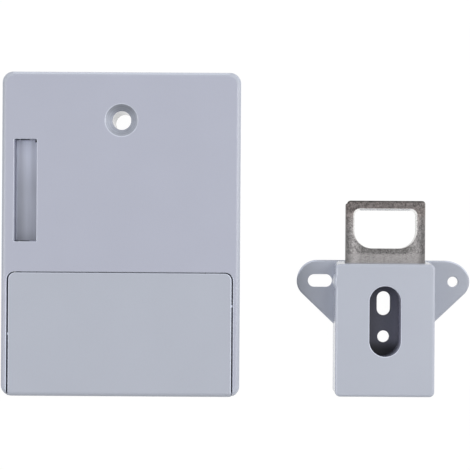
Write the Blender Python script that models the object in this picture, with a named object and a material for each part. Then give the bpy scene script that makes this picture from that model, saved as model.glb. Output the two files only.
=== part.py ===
"""Electronic cabinet lock with its strike, modelled as separate pieces.

Metres, +Z up. The lock lies on its back on z = 0 with the front face up, and the strike lies beside it.
X runs from the lock to the strike and Y runs from the battery end to the top end.
"""

import math

import bmesh
import bpy
from mathutils import Matrix

# Fits
GAP = 0.0003
ROOT = 0.0004
OVERCUT = 0.001

# Case
CASE_WIDTH = 0.0824
CASE_HEIGHT = 0.112
CASE_CORNER = 0.0038
CASE_EDGE = 0.0011
SIDE_WALL = 0.00205
FRONT_WALL = 0.0022
BACK_THICKNESS = 0.002

# Front screw hole, measured from the top edge
SCREW_HOLE_DROP = 0.0164
SCREW_HOLE_BORE = 0.0065
SCREW_HOLE_FLARE = 0.0112
SCREW_TUBE_WALL = 0.00165

# Strike slot, measured from the left edge and from the battery cover's top line
SLOT_WIDTH = 0.0076
SLOT_LENGTH = 0.0354
SLOT_INSET = 0.0043
SLOT_RISE = 0.0105
CHUTE_WALL = 0.0012
CHUTE_CLEAR = 0.0001

# Shutter inside the slot
SHUTTER_DEPTH = 0.006
SHUTTER_THICKNESS = 0.0016
SHUTTER_BARREL = 0.001
SHUTTER_STOP = 0.0004
SHUTTER_PIN_RADIUS = 0.0005
TORSION_WIRE = 0.0002
TORSION_RADIUS = 0.00108
TORSION_TURNS = 3
TORSION_PITCH = 0.00095
TORSION_LEG = 0.0032

# Latch bolt
BOLT_WIDTH = 0.017
BOLT_THICKNESS = 0.006
BOLT_HEAD = 0.0084
BOLT_STEM = 0.015
BOLT_STEM_WIDTH = 0.007
BOLT_STEM_THICKNESS = 0.0028
BOLT_SET_BACK = 0.0003
BOLT_PLAY = 0.0005
BOLT_NOSE = 0.0012

# Rack and pinion
TOOTH_MODULE = 0.0005
PINION_TEETH = 12
PINION_FACE = 0.0056
PINION_PLACE = 0.0065
TOOTH_BACKLASH = 0.00024
PRESSURE_ANGLE = math.radians(20)
TOOTH_ADDENDUM = 0.8
TOOTH_DEDENDUM = 1.15

# Gear motor
MOTOR_WIDTH = 0.012
MOTOR_THICKNESS = 0.01
MOTOR_CAN_LENGTH = 0.008
GEARBOX_LENGTH = 0.009
MOTOR_SHAFT_RADIUS = 0.00145
MOTOR_SHAFT_SEAT = 0.004
CLAMP_SHEET = 0.0006
CLAMP_WIDTH = 0.005
CLAMP_FOOT = 0.0054

# Bolt guide
GUIDE_PLATE = 0.002
GUIDE_RAIL = 0.002
GUIDE_PLAY = 0.00035
GUIDE_REACH = 0.0072
KEEPER_SHEET = 0.0008
KEEPER_WIDTH = 0.0034
LIMIT_SWITCH_LENGTH = 0.005
LIMIT_SWITCH_WIDTH = 0.0064
LIMIT_SWITCH_HEIGHT = 0.0048

# Screws
SCREW_RADIUS = 0.001
SCREW_HEAD_RADIUS = 0.0021
SCREW_HEAD_HEIGHT = 0.0011
SCREW_BITE = 0.004
SCREW_DRIVE_DEPTH = 0.0006
SCREW_DRIVE_REACH = 0.00125
SCREW_DRIVE_WIDTH = 0.0007
BOSS_WALL = 0.0015
RECESS_WALL = 0.0012

# Batteries
CELL_COUNT = 4
CELL_DIAMETER = 0.0104
CELL_LENGTH = 0.0445
CELL_NUB_RADIUS = 0.0019
CELL_NUB_LENGTH = 0.0011
CELL_SPACING = 0.0002
CELL_HEADROOM = 0.0016
CONTACT_SHEET = 0.0004
CONTACT_WIDTH = 0.0084
CONTACT_HEIGHT = 0.0076
CONTACT_TAB = 0.0026
CONTACT_TAB_WIDTH = 0.004
SPRING_LENGTH = 0.0052
SPRING_WIRE = 0.00025
SPRING_BASE_RADIUS = 0.0031
SPRING_TIP_RADIUS = 0.0021
SPRING_TURNS = 3

# Battery tray
TRAY_FLOOR = 0.0012
TRAY_WALL = 0.0012
TRAY_PARTITION_HEIGHT = 0.0082
MOUNT_HOLE_BORE = 0.0046
MOUNT_HOLE_RISE = 0.011
TRAY_SCREW_RISE = 0.0205

# Battery cover
COVER_THICKNESS = 0.0019
COVER_GAP = 0.0004
COVER_CORNER = 0.0024
COVER_OVERLAP = 0.002
COVER_SKIRT_DEPTH = 0.0108
COVER_SKIRT_THICKNESS = 0.0016
RUNNER_THICKNESS = 0.001
RUNNER_FLANGE = 0.0009
RAIL_HEIGHT = 0.0012
RAIL_REACH = 0.0014
COVER_LIP_WIDTH = 0.005
COVER_LIP_REACH = 0.0022
COVER_LIP_THICKNESS = 0.001
FOAM_WIDTH = 0.03

# Circuit board
BOARD_STANDOFF = 0.001
BOARD_THICKNESS = 0.001
BOARD_TOP_MARGIN = 0.01
BOARD_TAIL_WIDTH = 0.0092
BOARD_TAIL_LENGTH = 0.0165
SWITCH_SIZE = 0.006
SWITCH_HEIGHT = 0.0013
BUTTON_RADIUS = 0.0023
BUTTON_FLANGE_RADIUS = 0.0033
BUTTON_FLANGE = 0.0007
BUTTON_TRAVEL = 0.0007
BUTTON_PROUD = 0.0012
BUTTON_DROP = 0.0085
CHIP_SIZE = 0.009
CHIP_HEIGHT = 0.0014
RADIO_SIZE = 0.0055
RADIO_HEIGHT = 0.0012
BUZZER_RADIUS = 0.006
BUZZER_HEIGHT = 0.0065
BUZZER_PORT = 0.001
CAPACITOR_RADIUS = 0.00315
CAPACITOR_HEIGHT = 0.0078
SOCKET_LENGTH = 0.012
SOCKET_WIDTH = 0.005
SOCKET_HEIGHT = 0.0055
COIL_BAND = 0.003
COIL_THICKNESS = 0.0004
COIL_MARGIN = 0.0024
COIL_SIDE_MARGIN = 0.007
LEAD_RADIUS = 0.00045
LEAD_SPACING = 0.0022

# Strike housing
STRIKE_GAP = 0.0334
STRIKE_LEVEL = -0.03302
STRIKE_WIDTH = 0.0347
STRIKE_HEIGHT = 0.0463
STRIKE_DEPTH = 0.016
STRIKE_CORNER = 0.0018
STRIKE_EDGE = 0.0009
STRIKE_SLOPE = 0.0011
STRIKE_WALL = 0.0018
STRIKE_FRONT_WALL = 0.002

# Strike ears, measured from the strike's centre
EAR_THICKNESS = 0.0025
EAR_EDGE = 0.0007
EAR_REACH = 0.03105
LEFT_EAR_REACH = 0.03045
EAR_RISE = 0.01685
EAR_TOP_RADIUS = 0.00725
EAR_TIP_RADIUS = 0.0062
EAR_FALL_DEGREES = 43.5
EAR_SLOT_LENGTH = 0.0086
EAR_SLOT_WIDTH = 0.0045
EAR_SLOT_REACH = 0.0222
EAR_SLOT_RISE = 0.01703
EAR_HOLE_BORE = 0.0037
EAR_HOLE_REACH = 0.0251
BULGE_STAND = 0.00042
BULGE_HALF_WIDTH = 0.00275
BULGE_HALF_LENGTH = 0.0045

# Strike window and base
WINDOW_WIDTH = 0.011
WINDOW_LENGTH = 0.0246
WINDOW_RISE = 0.00315
WELL_WALL = 0.0012
WELL_EASE = 0.00015
BASE_THICKNESS = 0.002
BASE_SLOT_WIDTH = 0.00476
BASE_SLOT_LENGTH = 0.0085
BASE_SLOT_RISE = 0.0059
BASE_SLOT_SHIFT = 0.0005
BASE_HOLE_BORE = 0.0042
BASE_HOLE_DROP = 0.0059

# Strike tongue
TONGUE_WIDTH = 0.028
TONGUE_SHIFT = 0.0004
TONGUE_THICKNESS = 0.003
TONGUE_REACH = 0.02226
TONGUE_LEVEL = 0.007
TONGUE_TIP_CORNER = 0.0011
TONGUE_EDGE = 0.0005
TONGUE_LEG_LENGTH = 0.0262
TONGUE_LEG_CLEAR = 0.0007
TONGUE_SCREW_RISE = 0.004
EYE_WIDTH = 0.0225
EYE_TIP_BAR = 0.00266
EYE_LENGTH = 0.0142
EYE_TIP_CORNER = 0.0022
EYE_ROOT_CORNER = 0.0064

# Facets
ARC_STEPS = 6
ROUND_SIDES = 24
MEDIUM_SIDES = 16
SMALL_SIDES = 12
SLOT_STEPS = 10
COIL_POINTS = 9

# Levels of the lock, from the back face to the front face
BOARD_LOW = BACK_THICKNESS + BOARD_STANDOFF
BOARD_HIGH = BOARD_LOW + BOARD_THICKNESS
SWITCH_LOW = BOARD_HIGH + GAP
SWITCH_HIGH = SWITCH_LOW + SWITCH_HEIGHT
FLANGE_LOW = SWITCH_HIGH + BUTTON_TRAVEL + GAP
FLANGE_HIGH = FLANGE_LOW + BUTTON_FLANGE
TRAY_LOW = FLANGE_HIGH + GAP
TRAY_FLOOR_HIGH = TRAY_LOW + TRAY_FLOOR
CELL_LOW = TRAY_FLOOR_HIGH + GAP
CELL_MIDDLE = CELL_LOW + CELL_DIAMETER / 2
CELL_HIGH = CELL_LOW + CELL_DIAMETER
COVER_LOW = CELL_HIGH + CELL_HEADROOM
CASE_DEPTH = COVER_LOW + COVER_THICKNESS
FRONT_INNER = CASE_DEPTH - FRONT_WALL
INNER_LOW = BACK_THICKNESS + GAP

# Edges of the lock
LEFT = -CASE_WIDTH / 2
RIGHT = CASE_WIDTH / 2
BOTTOM = -CASE_HEIGHT / 2
TOP = CASE_HEIGHT / 2
INNER_RIGHT = RIGHT - SIDE_WALL
INNER_LEFT = -INNER_RIGHT
INNER_BOTTOM = BOTTOM + SIDE_WALL
INNER_TOP = TOP - SIDE_WALL
CELL_PITCH = CELL_DIAMETER + CELL_SPACING
CELL_FIRST = INNER_BOTTOM + GAP + CELL_DIAMETER / 2
TRAY_INNER_TOP = CELL_FIRST + (CELL_COUNT - 1) * CELL_PITCH + CELL_DIAMETER / 2 + GAP
TRAY_TOP = TRAY_INNER_TOP + TRAY_WALL
TRAY_BOTTOM = INNER_BOTTOM + GAP
COVER_LINE = TRAY_INNER_TOP - COVER_OVERLAP
CHAMBER_BOTTOM = TRAY_TOP + GAP
CELL_SPACE = CELL_LENGTH + SPRING_LENGTH + 2 * GAP + 2 * (CONTACT_SHEET + GAP)
PARTITION_INNER = CELL_SPACE / 2
PARTITION_OUTER = PARTITION_INNER + TRAY_WALL
RAIL_INNER = INNER_RIGHT - RAIL_REACH
RUNNER_OUTER = RAIL_INNER - GAP
RUNNER_INNER = RUNNER_OUTER - RUNNER_THICKNESS
TRAY_SIDE = RUNNER_INNER - GAP
TRAY_INNER_SIDE = TRAY_SIDE - TRAY_WALL
SIDE_BAY_MIDDLE = (PARTITION_OUTER + TRAY_INNER_SIDE) / 2
RAIL_HIGH = FRONT_INNER - RAIL_HEIGHT
RAIL_LOW = RAIL_HIGH - RAIL_HEIGHT
RUNNER_LOW = RAIL_LOW - GAP - RUNNER_FLANGE

# Slot and mechanism
SLOT_X = LEFT + SLOT_INSET + SLOT_WIDTH / 2
SLOT_Y = COVER_LINE + SLOT_RISE + SLOT_LENGTH / 2
CHUTE_LEFT = SLOT_X - SLOT_WIDTH / 2 - CHUTE_CLEAR
CHUTE_RIGHT = SLOT_X + SLOT_WIDTH / 2 + CHUTE_CLEAR
CHUTE_LOW_END = SLOT_Y - SLOT_LENGTH / 2 - CHUTE_CLEAR
CHUTE_HIGH_END = SLOT_Y + SLOT_LENGTH / 2 + CHUTE_CLEAR
CHUTE_HIGH = FRONT_INNER - GAP
SHUTTER_HIGH = CASE_DEPTH - SHUTTER_DEPTH
SHUTTER_LOW = SHUTTER_HIGH - SHUTTER_THICKNESS
SHUTTER_Z = SHUTTER_HIGH - SHUTTER_THICKNESS / 2
SHUTTER_X = CHUTE_LEFT + GAP + SHUTTER_BARREL
BOLT_HIGH = SHUTTER_Z - SHUTTER_BARREL - BOLT_PLAY
BOLT_LOW = BOLT_HIGH - BOLT_THICKNESS
BOLT_TIP = CHUTE_RIGHT + BOLT_SET_BACK
BOLT_SHOULDER = BOLT_TIP + BOLT_HEAD
BOLT_END = BOLT_SHOULDER + BOLT_STEM
BOLT_SIDE = BOLT_WIDTH / 2
STEM_SIDE = BOLT_STEM_WIDTH / 2
RACK_ROOT = BOLT_HIGH - BOLT_STEM_THICKNESS
RACK_PITCH = RACK_ROOT - TOOTH_MODULE * TOOTH_DEDENDUM
PINION_RADIUS = TOOTH_MODULE * PINION_TEETH / 2
PINION_X = BOLT_SHOULDER + PINION_PLACE
PINION_Z = RACK_PITCH - PINION_RADIUS
TOOTH_PITCH = math.pi * TOOTH_MODULE
MOTOR_LEFT = PINION_X - MOTOR_WIDTH / 2
MOTOR_RIGHT = PINION_X + MOTOR_WIDTH / 2
MOTOR_LOW = PINION_Z - MOTOR_THICKNESS / 2
MOTOR_HIGH = PINION_Z + MOTOR_THICKNESS / 2
PINION_START = SLOT_Y - PINION_FACE / 2
PINION_END = SLOT_Y + PINION_FACE / 2
GEARBOX_FACE = min(PINION_START, SLOT_Y - STEM_SIDE) - GAP
GEARBOX_BACK = GEARBOX_FACE - GEARBOX_LENGTH
CAN_FACE = GEARBOX_BACK - GAP
CAN_BACK = CAN_FACE - MOTOR_CAN_LENGTH
GUIDE_LOW = BOLT_HIGH + GAP
GUIDE_HIGH = GUIDE_LOW + GUIDE_PLATE
GUIDE_LEFT = CHUTE_RIGHT + CHUTE_WALL + GAP
GUIDE_RIGHT = BOLT_END + GUIDE_REACH
GUIDE_BOTTOM = CAN_BACK
GUIDE_TOP = SLOT_Y + BOLT_SIDE + GUIDE_PLAY + GUIDE_RAIL
STEM_RAIL_TOP = SLOT_Y + STEM_SIDE + GUIDE_PLAY + GUIDE_RAIL
SWITCH_ARM_TOP = SLOT_Y + LIMIT_SWITCH_WIDTH / 2 + GAP
CLAMP_Y = (CAN_FACE + CAN_BACK) / 2
CLAMP_LEFT = MOTOR_LEFT - GAP - CLAMP_SHEET
CLAMP_RIGHT = MOTOR_RIGHT + GAP + CLAMP_SHEET
SCREW_HOLE_RADIUS = SCREW_RADIUS + GAP
BOSS_RADIUS = SCREW_HOLE_RADIUS + BOSS_WALL
TUBE_RADIUS = SCREW_HOLE_BORE / 2 + SCREW_TUBE_WALL
TUBE_Y = TOP - SCREW_HOLE_DROP

# Circuit board edges
BOARD_LEFT = max(GUIDE_RIGHT, TUBE_RADIUS) + 2 * GAP
BOARD_RIGHT = INNER_RIGHT - 2 * GAP
BOARD_BOTTOM = CHAMBER_BOTTOM
BOARD_TOP = TOP - BOARD_TOP_MARGIN
BUTTON_Y = TRAY_INNER_TOP - BUTTON_DROP
MOUNT_Y = BOTTOM + MOUNT_HOLE_RISE
TRAY_SCREW_Y = BOTTOM + TRAY_SCREW_RISE

# Strike places
STRIKE_X = RIGHT + STRIKE_GAP + STRIKE_WIDTH / 2
STRIKE_Y = STRIKE_LEVEL
STRIKE_TOP = STRIKE_Y + STRIKE_HEIGHT / 2
STRIKE_BOTTOM = STRIKE_Y - STRIKE_HEIGHT / 2
STRIKE_INNER_SIDE = STRIKE_WIDTH / 2 - STRIKE_WALL
STRIKE_INNER_TOP = STRIKE_TOP - STRIKE_WALL
STRIKE_INNER_BOTTOM = STRIKE_BOTTOM + STRIKE_WALL
STRIKE_INNER_FRONT = STRIKE_DEPTH - STRIKE_FRONT_WALL
WINDOW_Y = STRIKE_Y + WINDOW_RISE
BASE_SLOT_X = STRIKE_X + BASE_SLOT_SHIFT
TONGUE_X = STRIKE_X + TONGUE_SHIFT
TONGUE_HIGH = TONGUE_LEVEL + TONGUE_THICKNESS
TONGUE_TIP = STRIKE_TOP + TONGUE_REACH
WELL_SIDE = WINDOW_WIDTH / 2 + WELL_EASE + WELL_WALL
WELL_TOP = WINDOW_Y + WINDOW_LENGTH / 2 + WELL_EASE + WELL_WALL
LEG_INNER = WELL_SIDE + TONGUE_LEG_CLEAR
LEG_MIDDLE = (LEG_INNER + TONGUE_WIDTH / 2) / 2
TONGUE_END = STRIKE_INNER_TOP - TONGUE_LEG_LENGTH
TONGUE_SCREW_Y = TONGUE_END + TONGUE_SCREW_RISE

# Scene and collections
for old in list(bpy.data.objects):
    bpy.data.objects.remove(old, do_unlink=True)
scene = bpy.context.scene
scene.unit_settings.system = "METRIC"
scene.unit_settings.scale_length = 1.0
parts = bpy.data.collections.new("electronic_cabinet_lock")
cutters = bpy.data.collections.new("cutters")
scene.collection.children.link(parts)
scene.collection.children.link(cutters)


def make_material(name, colour, roughness, metallic):
    """A plain Principled material."""
    made = bpy.data.materials.new(name)
    made.use_nodes = True
    made.diffuse_color = (*colour, 1.0)
    shader = made.node_tree.nodes["Principled BSDF"]
    shader.inputs["Base Color"].default_value = (*colour, 1.0)
    shader.inputs["Roughness"].default_value = roughness
    shader.inputs["Metallic"].default_value = metallic
    return made


GREY = make_material("blue_grey_plastic", (0.46, 0.48, 0.565), 0.55, 0.0)
CHARCOAL = make_material("charcoal_plastic", (0.04, 0.042, 0.052), 0.6, 0.0)
NICKEL = make_material("nickel_plate", (0.6, 0.58, 0.56), 0.3, 1.0)
STEEL = make_material("zinc_steel", (0.55, 0.56, 0.58), 0.35, 1.0)
WHITE = make_material("white_nylon", (0.8, 0.8, 0.77), 0.5, 0.0)
BRASS = make_material("brass", (0.75, 0.55, 0.25), 0.35, 1.0)
COPPER = make_material("copper", (0.85, 0.42, 0.24), 0.35, 1.0)
BOARD_GREEN = make_material("board_green", (0.03, 0.2, 0.09), 0.45, 0.0)
BLACK = make_material("black_plastic", (0.015, 0.015, 0.017), 0.5, 0.0)
RED = make_material("red_insulation", (0.6, 0.03, 0.02), 0.5, 0.0)
FOAM = make_material("grey_foam", (0.12, 0.12, 0.13), 0.95, 0.0)
CELL_WRAP = make_material("cell_wrap", (0.06, 0.16, 0.1), 0.35, 0.0)


def object_from(name, bm):
    """An object in the parts collection from a finished bmesh."""
    bmesh.ops.recalc_face_normals(bm, faces=bm.faces)
    mesh = bpy.data.meshes.new(name)
    bm.to_mesh(mesh)
    bm.free()
    made = bpy.data.objects.new(name, mesh)
    parts.objects.link(made)
    return made


def block(name, x, y, z):
    """A box between the pairs of limits."""
    bm = bmesh.new()
    bmesh.ops.create_cube(bm, size=1.0)
    for vert in bm.verts:
        vert.co.x = x[0] if vert.co.x < 0 else x[1]
        vert.co.y = y[0] if vert.co.y < 0 else y[1]
        vert.co.z = z[0] if vert.co.z < 0 else z[1]
    return object_from(name, bm)


def round_block(name, x, y, z, corner, edge, edge_steps=3):
    """A box with rounded upright corners and a rounded upper edge."""
    bm = bmesh.new()
    bmesh.ops.create_cube(bm, size=1.0)
    for vert in bm.verts:
        vert.co.x = x[0] if vert.co.x < 0 else x[1]
        vert.co.y = y[0] if vert.co.y < 0 else y[1]
        vert.co.z = z[0] if vert.co.z < 0 else z[1]
    upright = [e for e in bm.edges if abs(e.verts[0].co.z - e.verts[1].co.z) > (z[1] - z[0]) / 2]
    bmesh.ops.bevel(bm, geom=upright, offset=corner, segments=ARC_STEPS, profile=0.5, affect="EDGES")
    if edge > 0:
        level = z[1] - edge / 10
        upper = [e for e in bm.edges if e.verts[0].co.z > level and e.verts[1].co.z > level]
        bmesh.ops.bevel(bm, geom=upper, offset=edge, segments=edge_steps, profile=0.5, affect="EDGES")
    return object_from(name, bm)


def rod(name, axis, place, radius, span, sides=ROUND_SIDES, end_radius=None):
    """A cylinder or cone along an axis. Its place is given on the other two axes in X, Y, Z order."""
    bm = bmesh.new()
    far = radius if end_radius is None else end_radius
    length = span[1] - span[0]
    bmesh.ops.create_cone(
        bm, cap_ends=True, segments=sides, radius1=radius, radius2=far, depth=length
    )
    middle = (span[0] + span[1]) / 2
    if axis == "Z":
        turn = Matrix.Translation((place[0], place[1], middle))
    elif axis == "Y":
        turn = Matrix.Translation((place[0], middle, place[1])) @ Matrix.Rotation(-math.pi / 2, 4, "X")
    else:
        turn = Matrix.Translation((middle, place[0], place[1])) @ Matrix.Rotation(math.pi / 2, 4, "Y")
    bmesh.ops.transform(bm, matrix=turn, verts=bm.verts)
    return object_from(name, bm)


def mesh_from_curve(name, curve):
    """A curve made into a closed mesh object at its own place."""
    parts.objects.link(curve)
    bpy.context.view_layer.update()
    graph = bpy.context.evaluated_depsgraph_get()
    mesh = bpy.data.meshes.new_from_object(curve.evaluated_get(graph))
    mesh.transform(curve.matrix_world)
    bm = bmesh.new()
    bm.from_mesh(mesh)
    bmesh.ops.remove_doubles(bm, verts=bm.verts, dist=1e-7)
    bpy.data.objects.remove(curve, do_unlink=True)
    bpy.data.meshes.remove(mesh)
    return object_from(name, bm)


def flat(name, outlines, z, turn=None):
    """A flat piece between two levels, from an outline followed by the outlines of its holes."""
    data = bpy.data.curves.new(name + "_outline", "CURVE")
    data.dimensions = "2D"
    data.fill_mode = "BOTH"
    data.extrude = (z[1] - z[0]) / 2
    for outline in outlines:
        spline = data.splines.new("POLY")
        spline.points.add(len(outline) - 1)
        for point, (x, y) in zip(spline.points, outline):
            point.co = (x, y, 0.0, 1.0)
        spline.use_cyclic_u = True
    curve = bpy.data.objects.new(name + "_outline", data)
    curve.matrix_world = (turn or Matrix()) @ Matrix.Translation((0.0, 0.0, (z[0] + z[1]) / 2))
    return mesh_from_curve(name, curve)


def tube(name, path, radius, resolution=1):
    """A round wire along a path of points."""
    data = bpy.data.curves.new(name + "_path", "CURVE")
    data.dimensions = "3D"
    data.bevel_depth = radius
    data.bevel_resolution = resolution
    data.use_fill_caps = True
    spline = data.splines.new("POLY")
    spline.points.add(len(path) - 1)
    for point, place in zip(spline.points, path):
        point.co = (*place, 1.0)
    return mesh_from_curve(name, bpy.data.objects.new(name + "_path", data))


def arc(x, y, radius, start, end, steps=ARC_STEPS):
    """Points on an arc, with its angles in degrees."""
    found = []
    for step in range(steps + 1):
        angle = math.radians(start + (end - start) * step / steps)
        found.append((x + radius * math.cos(angle), y + radius * math.sin(angle)))
    return found


def rectangle(x, y, upper, lower):
    """A rectangle's outline with one radius for its upper corners and one for its lower corners."""
    outline = arc(x[1] - upper, y[1] - upper, upper, 0, 90)
    outline += arc(x[0] + upper, y[1] - upper, upper, 90, 180)
    outline += arc(x[0] + lower, y[0] + lower, lower, 180, 270)
    outline += arc(x[1] - lower, y[0] + lower, lower, 270, 360)
    return outline


def slot_outline(x, y, width, length, along):
    """A slot's outline with round ends."""
    half = (length - width) / 2
    if along == "X":
        first = arc(x + half, y, width / 2, -90, 90, SLOT_STEPS)
        return first + arc(x - half, y, width / 2, 90, 270, SLOT_STEPS)
    first = arc(x, y + half, width / 2, 0, 180, SLOT_STEPS)
    return first + arc(x, y - half, width / 2, 180, 360, SLOT_STEPS)


def circle(x, y, radius, sides):
    """A full circle's outline."""
    return arc(x, y, radius, 0, 360 - 360 / sides, sides - 1)


def smooth_path(knots, steps=5):
    """Points on a smooth line through the knots."""
    ends = [knots[0]] + list(knots) + [knots[-1]]
    found = []
    for a, b, c, d in zip(ends, ends[1:], ends[2:], ends[3:]):
        for step in range(steps):
            t = step / steps
            place = []
            for p, q, r, s in zip(a, b, c, d):
                bend = (2 * p - 5 * q + 4 * r - s) * t**2 + (3 * q - p - 3 * r + s) * t**3
                place.append(q + (r - p) * t / 2 + bend / 2)
            found.append(tuple(place))
    found.append(tuple(knots[-1]))
    return found


def least_coil_gap(path, wire, points_per_turn):
    """The least clear distance between neighbouring turns of a coil."""
    least = math.inf
    for first, place in enumerate(path):
        for other in path[first + points_per_turn // 2 :]:
            least = min(least, math.dist(place, other) - 2 * wire)
    return least


def combine(target, helper, operation):
    """A Boolean between a piece and a helper that is kept out of the render."""
    if helper.name in parts.objects:
        parts.objects.unlink(helper)
        cutters.objects.link(helper)
    helper.hide_render = True
    helper.display_type = "WIRE"
    step = target.modifiers.new(helper.name, "BOOLEAN")
    step.operation = operation
    step.solver = "EXACT"
    step.object = helper


def add(target, helper):
    combine(target, helper, "UNION")


def cut(target, helper):
    combine(target, helper, "DIFFERENCE")


def finish(piece, material, pivot=None):
    """The piece's material and, on a moving piece, its origin on the joint axis."""
    piece.data.materials.clear()
    piece.data.materials.append(material)
    if pivot is not None:
        piece.data.transform(Matrix.Translation([-p for p in pivot]))
        piece.location = pivot
    return piece


def soften(piece, radius, chosen, steps=2):
    """Rounds the edges that the test picks."""
    bm = bmesh.new()
    bm.from_mesh(piece.data)
    edges = [e for e in bm.edges if len(e.link_faces) == 2 and chosen(e)]
    bmesh.ops.bevel(bm, geom=edges, offset=radius, segments=steps, profile=0.5, affect="EDGES")
    bm.to_mesh(piece.data)
    bm.free()


def screw(name, x, y, seat, tip, up):
    """A pan-head screw on a Z axis, with its head below the seat when it points up."""
    sign = 1 if up else -1
    outer = seat - sign * SCREW_HEAD_HEIGHT
    head = rod(name, "Z", (x, y), SCREW_HEAD_RADIUS, sorted((outer, seat)), SMALL_SIDES)
    shank = rod(name + "_shank", "Z", (x, y), SCREW_RADIUS, sorted((seat - sign * ROOT, tip)), SMALL_SIDES)
    add(head, shank)
    depth = sorted((outer - sign * OVERCUT, outer + sign * SCREW_DRIVE_DEPTH))
    arm = SCREW_DRIVE_REACH
    slim = SCREW_DRIVE_WIDTH / 2
    cross = block(name + "_drive_x", (x - arm, x + arm), (y - slim, y + slim), depth)
    cut(head, cross)
    other = block(name + "_drive_y", (x - slim, x + slim), (y - arm, y + arm), depth)
    cut(head, other)
    return finish(head, STEEL)


# Places shared by several pieces
head_clear = SCREW_HEAD_RADIUS + GAP
top_boss_x = INNER_RIGHT - GAP - RECESS_WALL - head_clear
top_boss_y = INNER_TOP - GAP - RECESS_WALL - head_clear
guide_screw_left = (CLAMP_LEFT - CLAMP_FOOT / 2, CLAMP_Y)
guide_screw_right = (CLAMP_RIGHT + CLAMP_FOOT / 2, CLAMP_Y)
guide_screw_top = (PINION_X, STEM_RAIL_TOP + head_clear)
guide_screws = (guide_screw_left, guide_screw_right, guide_screw_top)
board_screw_top = (BOARD_LEFT + BOSS_RADIUS, BOARD_TOP - BOSS_RADIUS)
board_screw_low = (BOARD_RIGHT - BOSS_RADIUS, BOARD_BOTTOM + BOSS_RADIUS)
board_screws = (board_screw_top, board_screw_low)
cover_side = INNER_RIGHT - COVER_GAP
cover_top = COVER_LINE - COVER_GAP / 2
opening_top = COVER_LINE + COVER_GAP / 2
skirt_low = CASE_DEPTH - COVER_SKIRT_DEPTH


def case_shape(name):
    """The lock's outer shape."""
    return round_block(name, (LEFT, RIGHT), (BOTTOM, TOP), (0.0, CASE_DEPTH), CASE_CORNER, CASE_EDGE)


# Front case
front_case = case_shape("front_case")
inner_corner = CASE_CORNER - SIDE_WALL
cut(
    front_case,
    round_block(
        "case_hollow",
        (INNER_LEFT, INNER_RIGHT),
        (INNER_BOTTOM, INNER_TOP),
        (-OVERCUT, FRONT_INNER),
        inner_corner,
        0.0,
    ),
)
opening = rectangle(
    (INNER_LEFT, INNER_RIGHT),
    (BOTTOM - OVERCUT, opening_top),
    COVER_CORNER + COVER_GAP,
    OVERCUT / 2,
)
cut(front_case, flat("bay_opening", [opening], (skirt_low - COVER_GAP, CASE_DEPTH + OVERCUT)))
slot_x = (SLOT_X - SLOT_WIDTH / 2, SLOT_X + SLOT_WIDTH / 2)
slot_y = (SLOT_Y - SLOT_LENGTH / 2, SLOT_Y + SLOT_LENGTH / 2)
cut(front_case, block("slot_opening", slot_x, slot_y, (FRONT_INNER - OVERCUT, CASE_DEPTH + OVERCUT)))
add(front_case, rod("screw_tube", "Z", (0.0, TUBE_Y), TUBE_RADIUS, (0.0, FRONT_INNER + ROOT)))
for side in (-1, 1):
    boss_place = (side * top_boss_x, top_boss_y)
    add(
        front_case,
        rod(f"case_boss{side}", "Z", boss_place, BOSS_RADIUS, (INNER_LOW, FRONT_INNER + ROOT), SMALL_SIDES),
    )
    hole_span = (INNER_LOW - OVERCUT, INNER_LOW + 2 * SCREW_BITE)
    cut(
        front_case,
        rod(f"case_boss_hole{side}", "Z", boss_place, SCREW_HOLE_RADIUS, hole_span, SMALL_SIDES),
    )
    rail_x = sorted((side * RAIL_INNER, side * (INNER_RIGHT + ROOT)))
    add(
        front_case,
        block(f"cover_rail{side}", rail_x, (INNER_BOTTOM + ROOT, cover_top), (RAIL_LOW, RAIL_HIGH)),
    )
for number, place in enumerate(guide_screws):
    add(
        front_case,
        rod(
            f"guide_boss{number}",
            "Z",
            place,
            BOSS_RADIUS,
            (GUIDE_HIGH + GAP, FRONT_INNER + ROOT),
            SMALL_SIDES,
        ),
    )
    cut(
        front_case,
        rod(
            f"guide_boss_hole{number}",
            "Z",
            place,
            SCREW_HOLE_RADIUS,
            (GUIDE_HIGH, FRONT_INNER),
            SMALL_SIDES,
        ),
    )
cut(
    front_case,
    rod("screw_bore", "Z", (0.0, TUBE_Y), SCREW_HOLE_BORE / 2, (-OVERCUT, CASE_DEPTH + OVERCUT)),
)
flare_depth = (SCREW_HOLE_FLARE - SCREW_HOLE_BORE) / 2
cut(
    front_case,
    rod(
        "screw_flare",
        "Z",
        (0.0, TUBE_Y),
        SCREW_HOLE_BORE / 2 - GAP,
        (CASE_DEPTH - flare_depth - GAP, CASE_DEPTH + OVERCUT),
        ROUND_SIDES,
        SCREW_HOLE_FLARE / 2 + OVERCUT,
    ),
)
finish(front_case, GREY)

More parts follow.
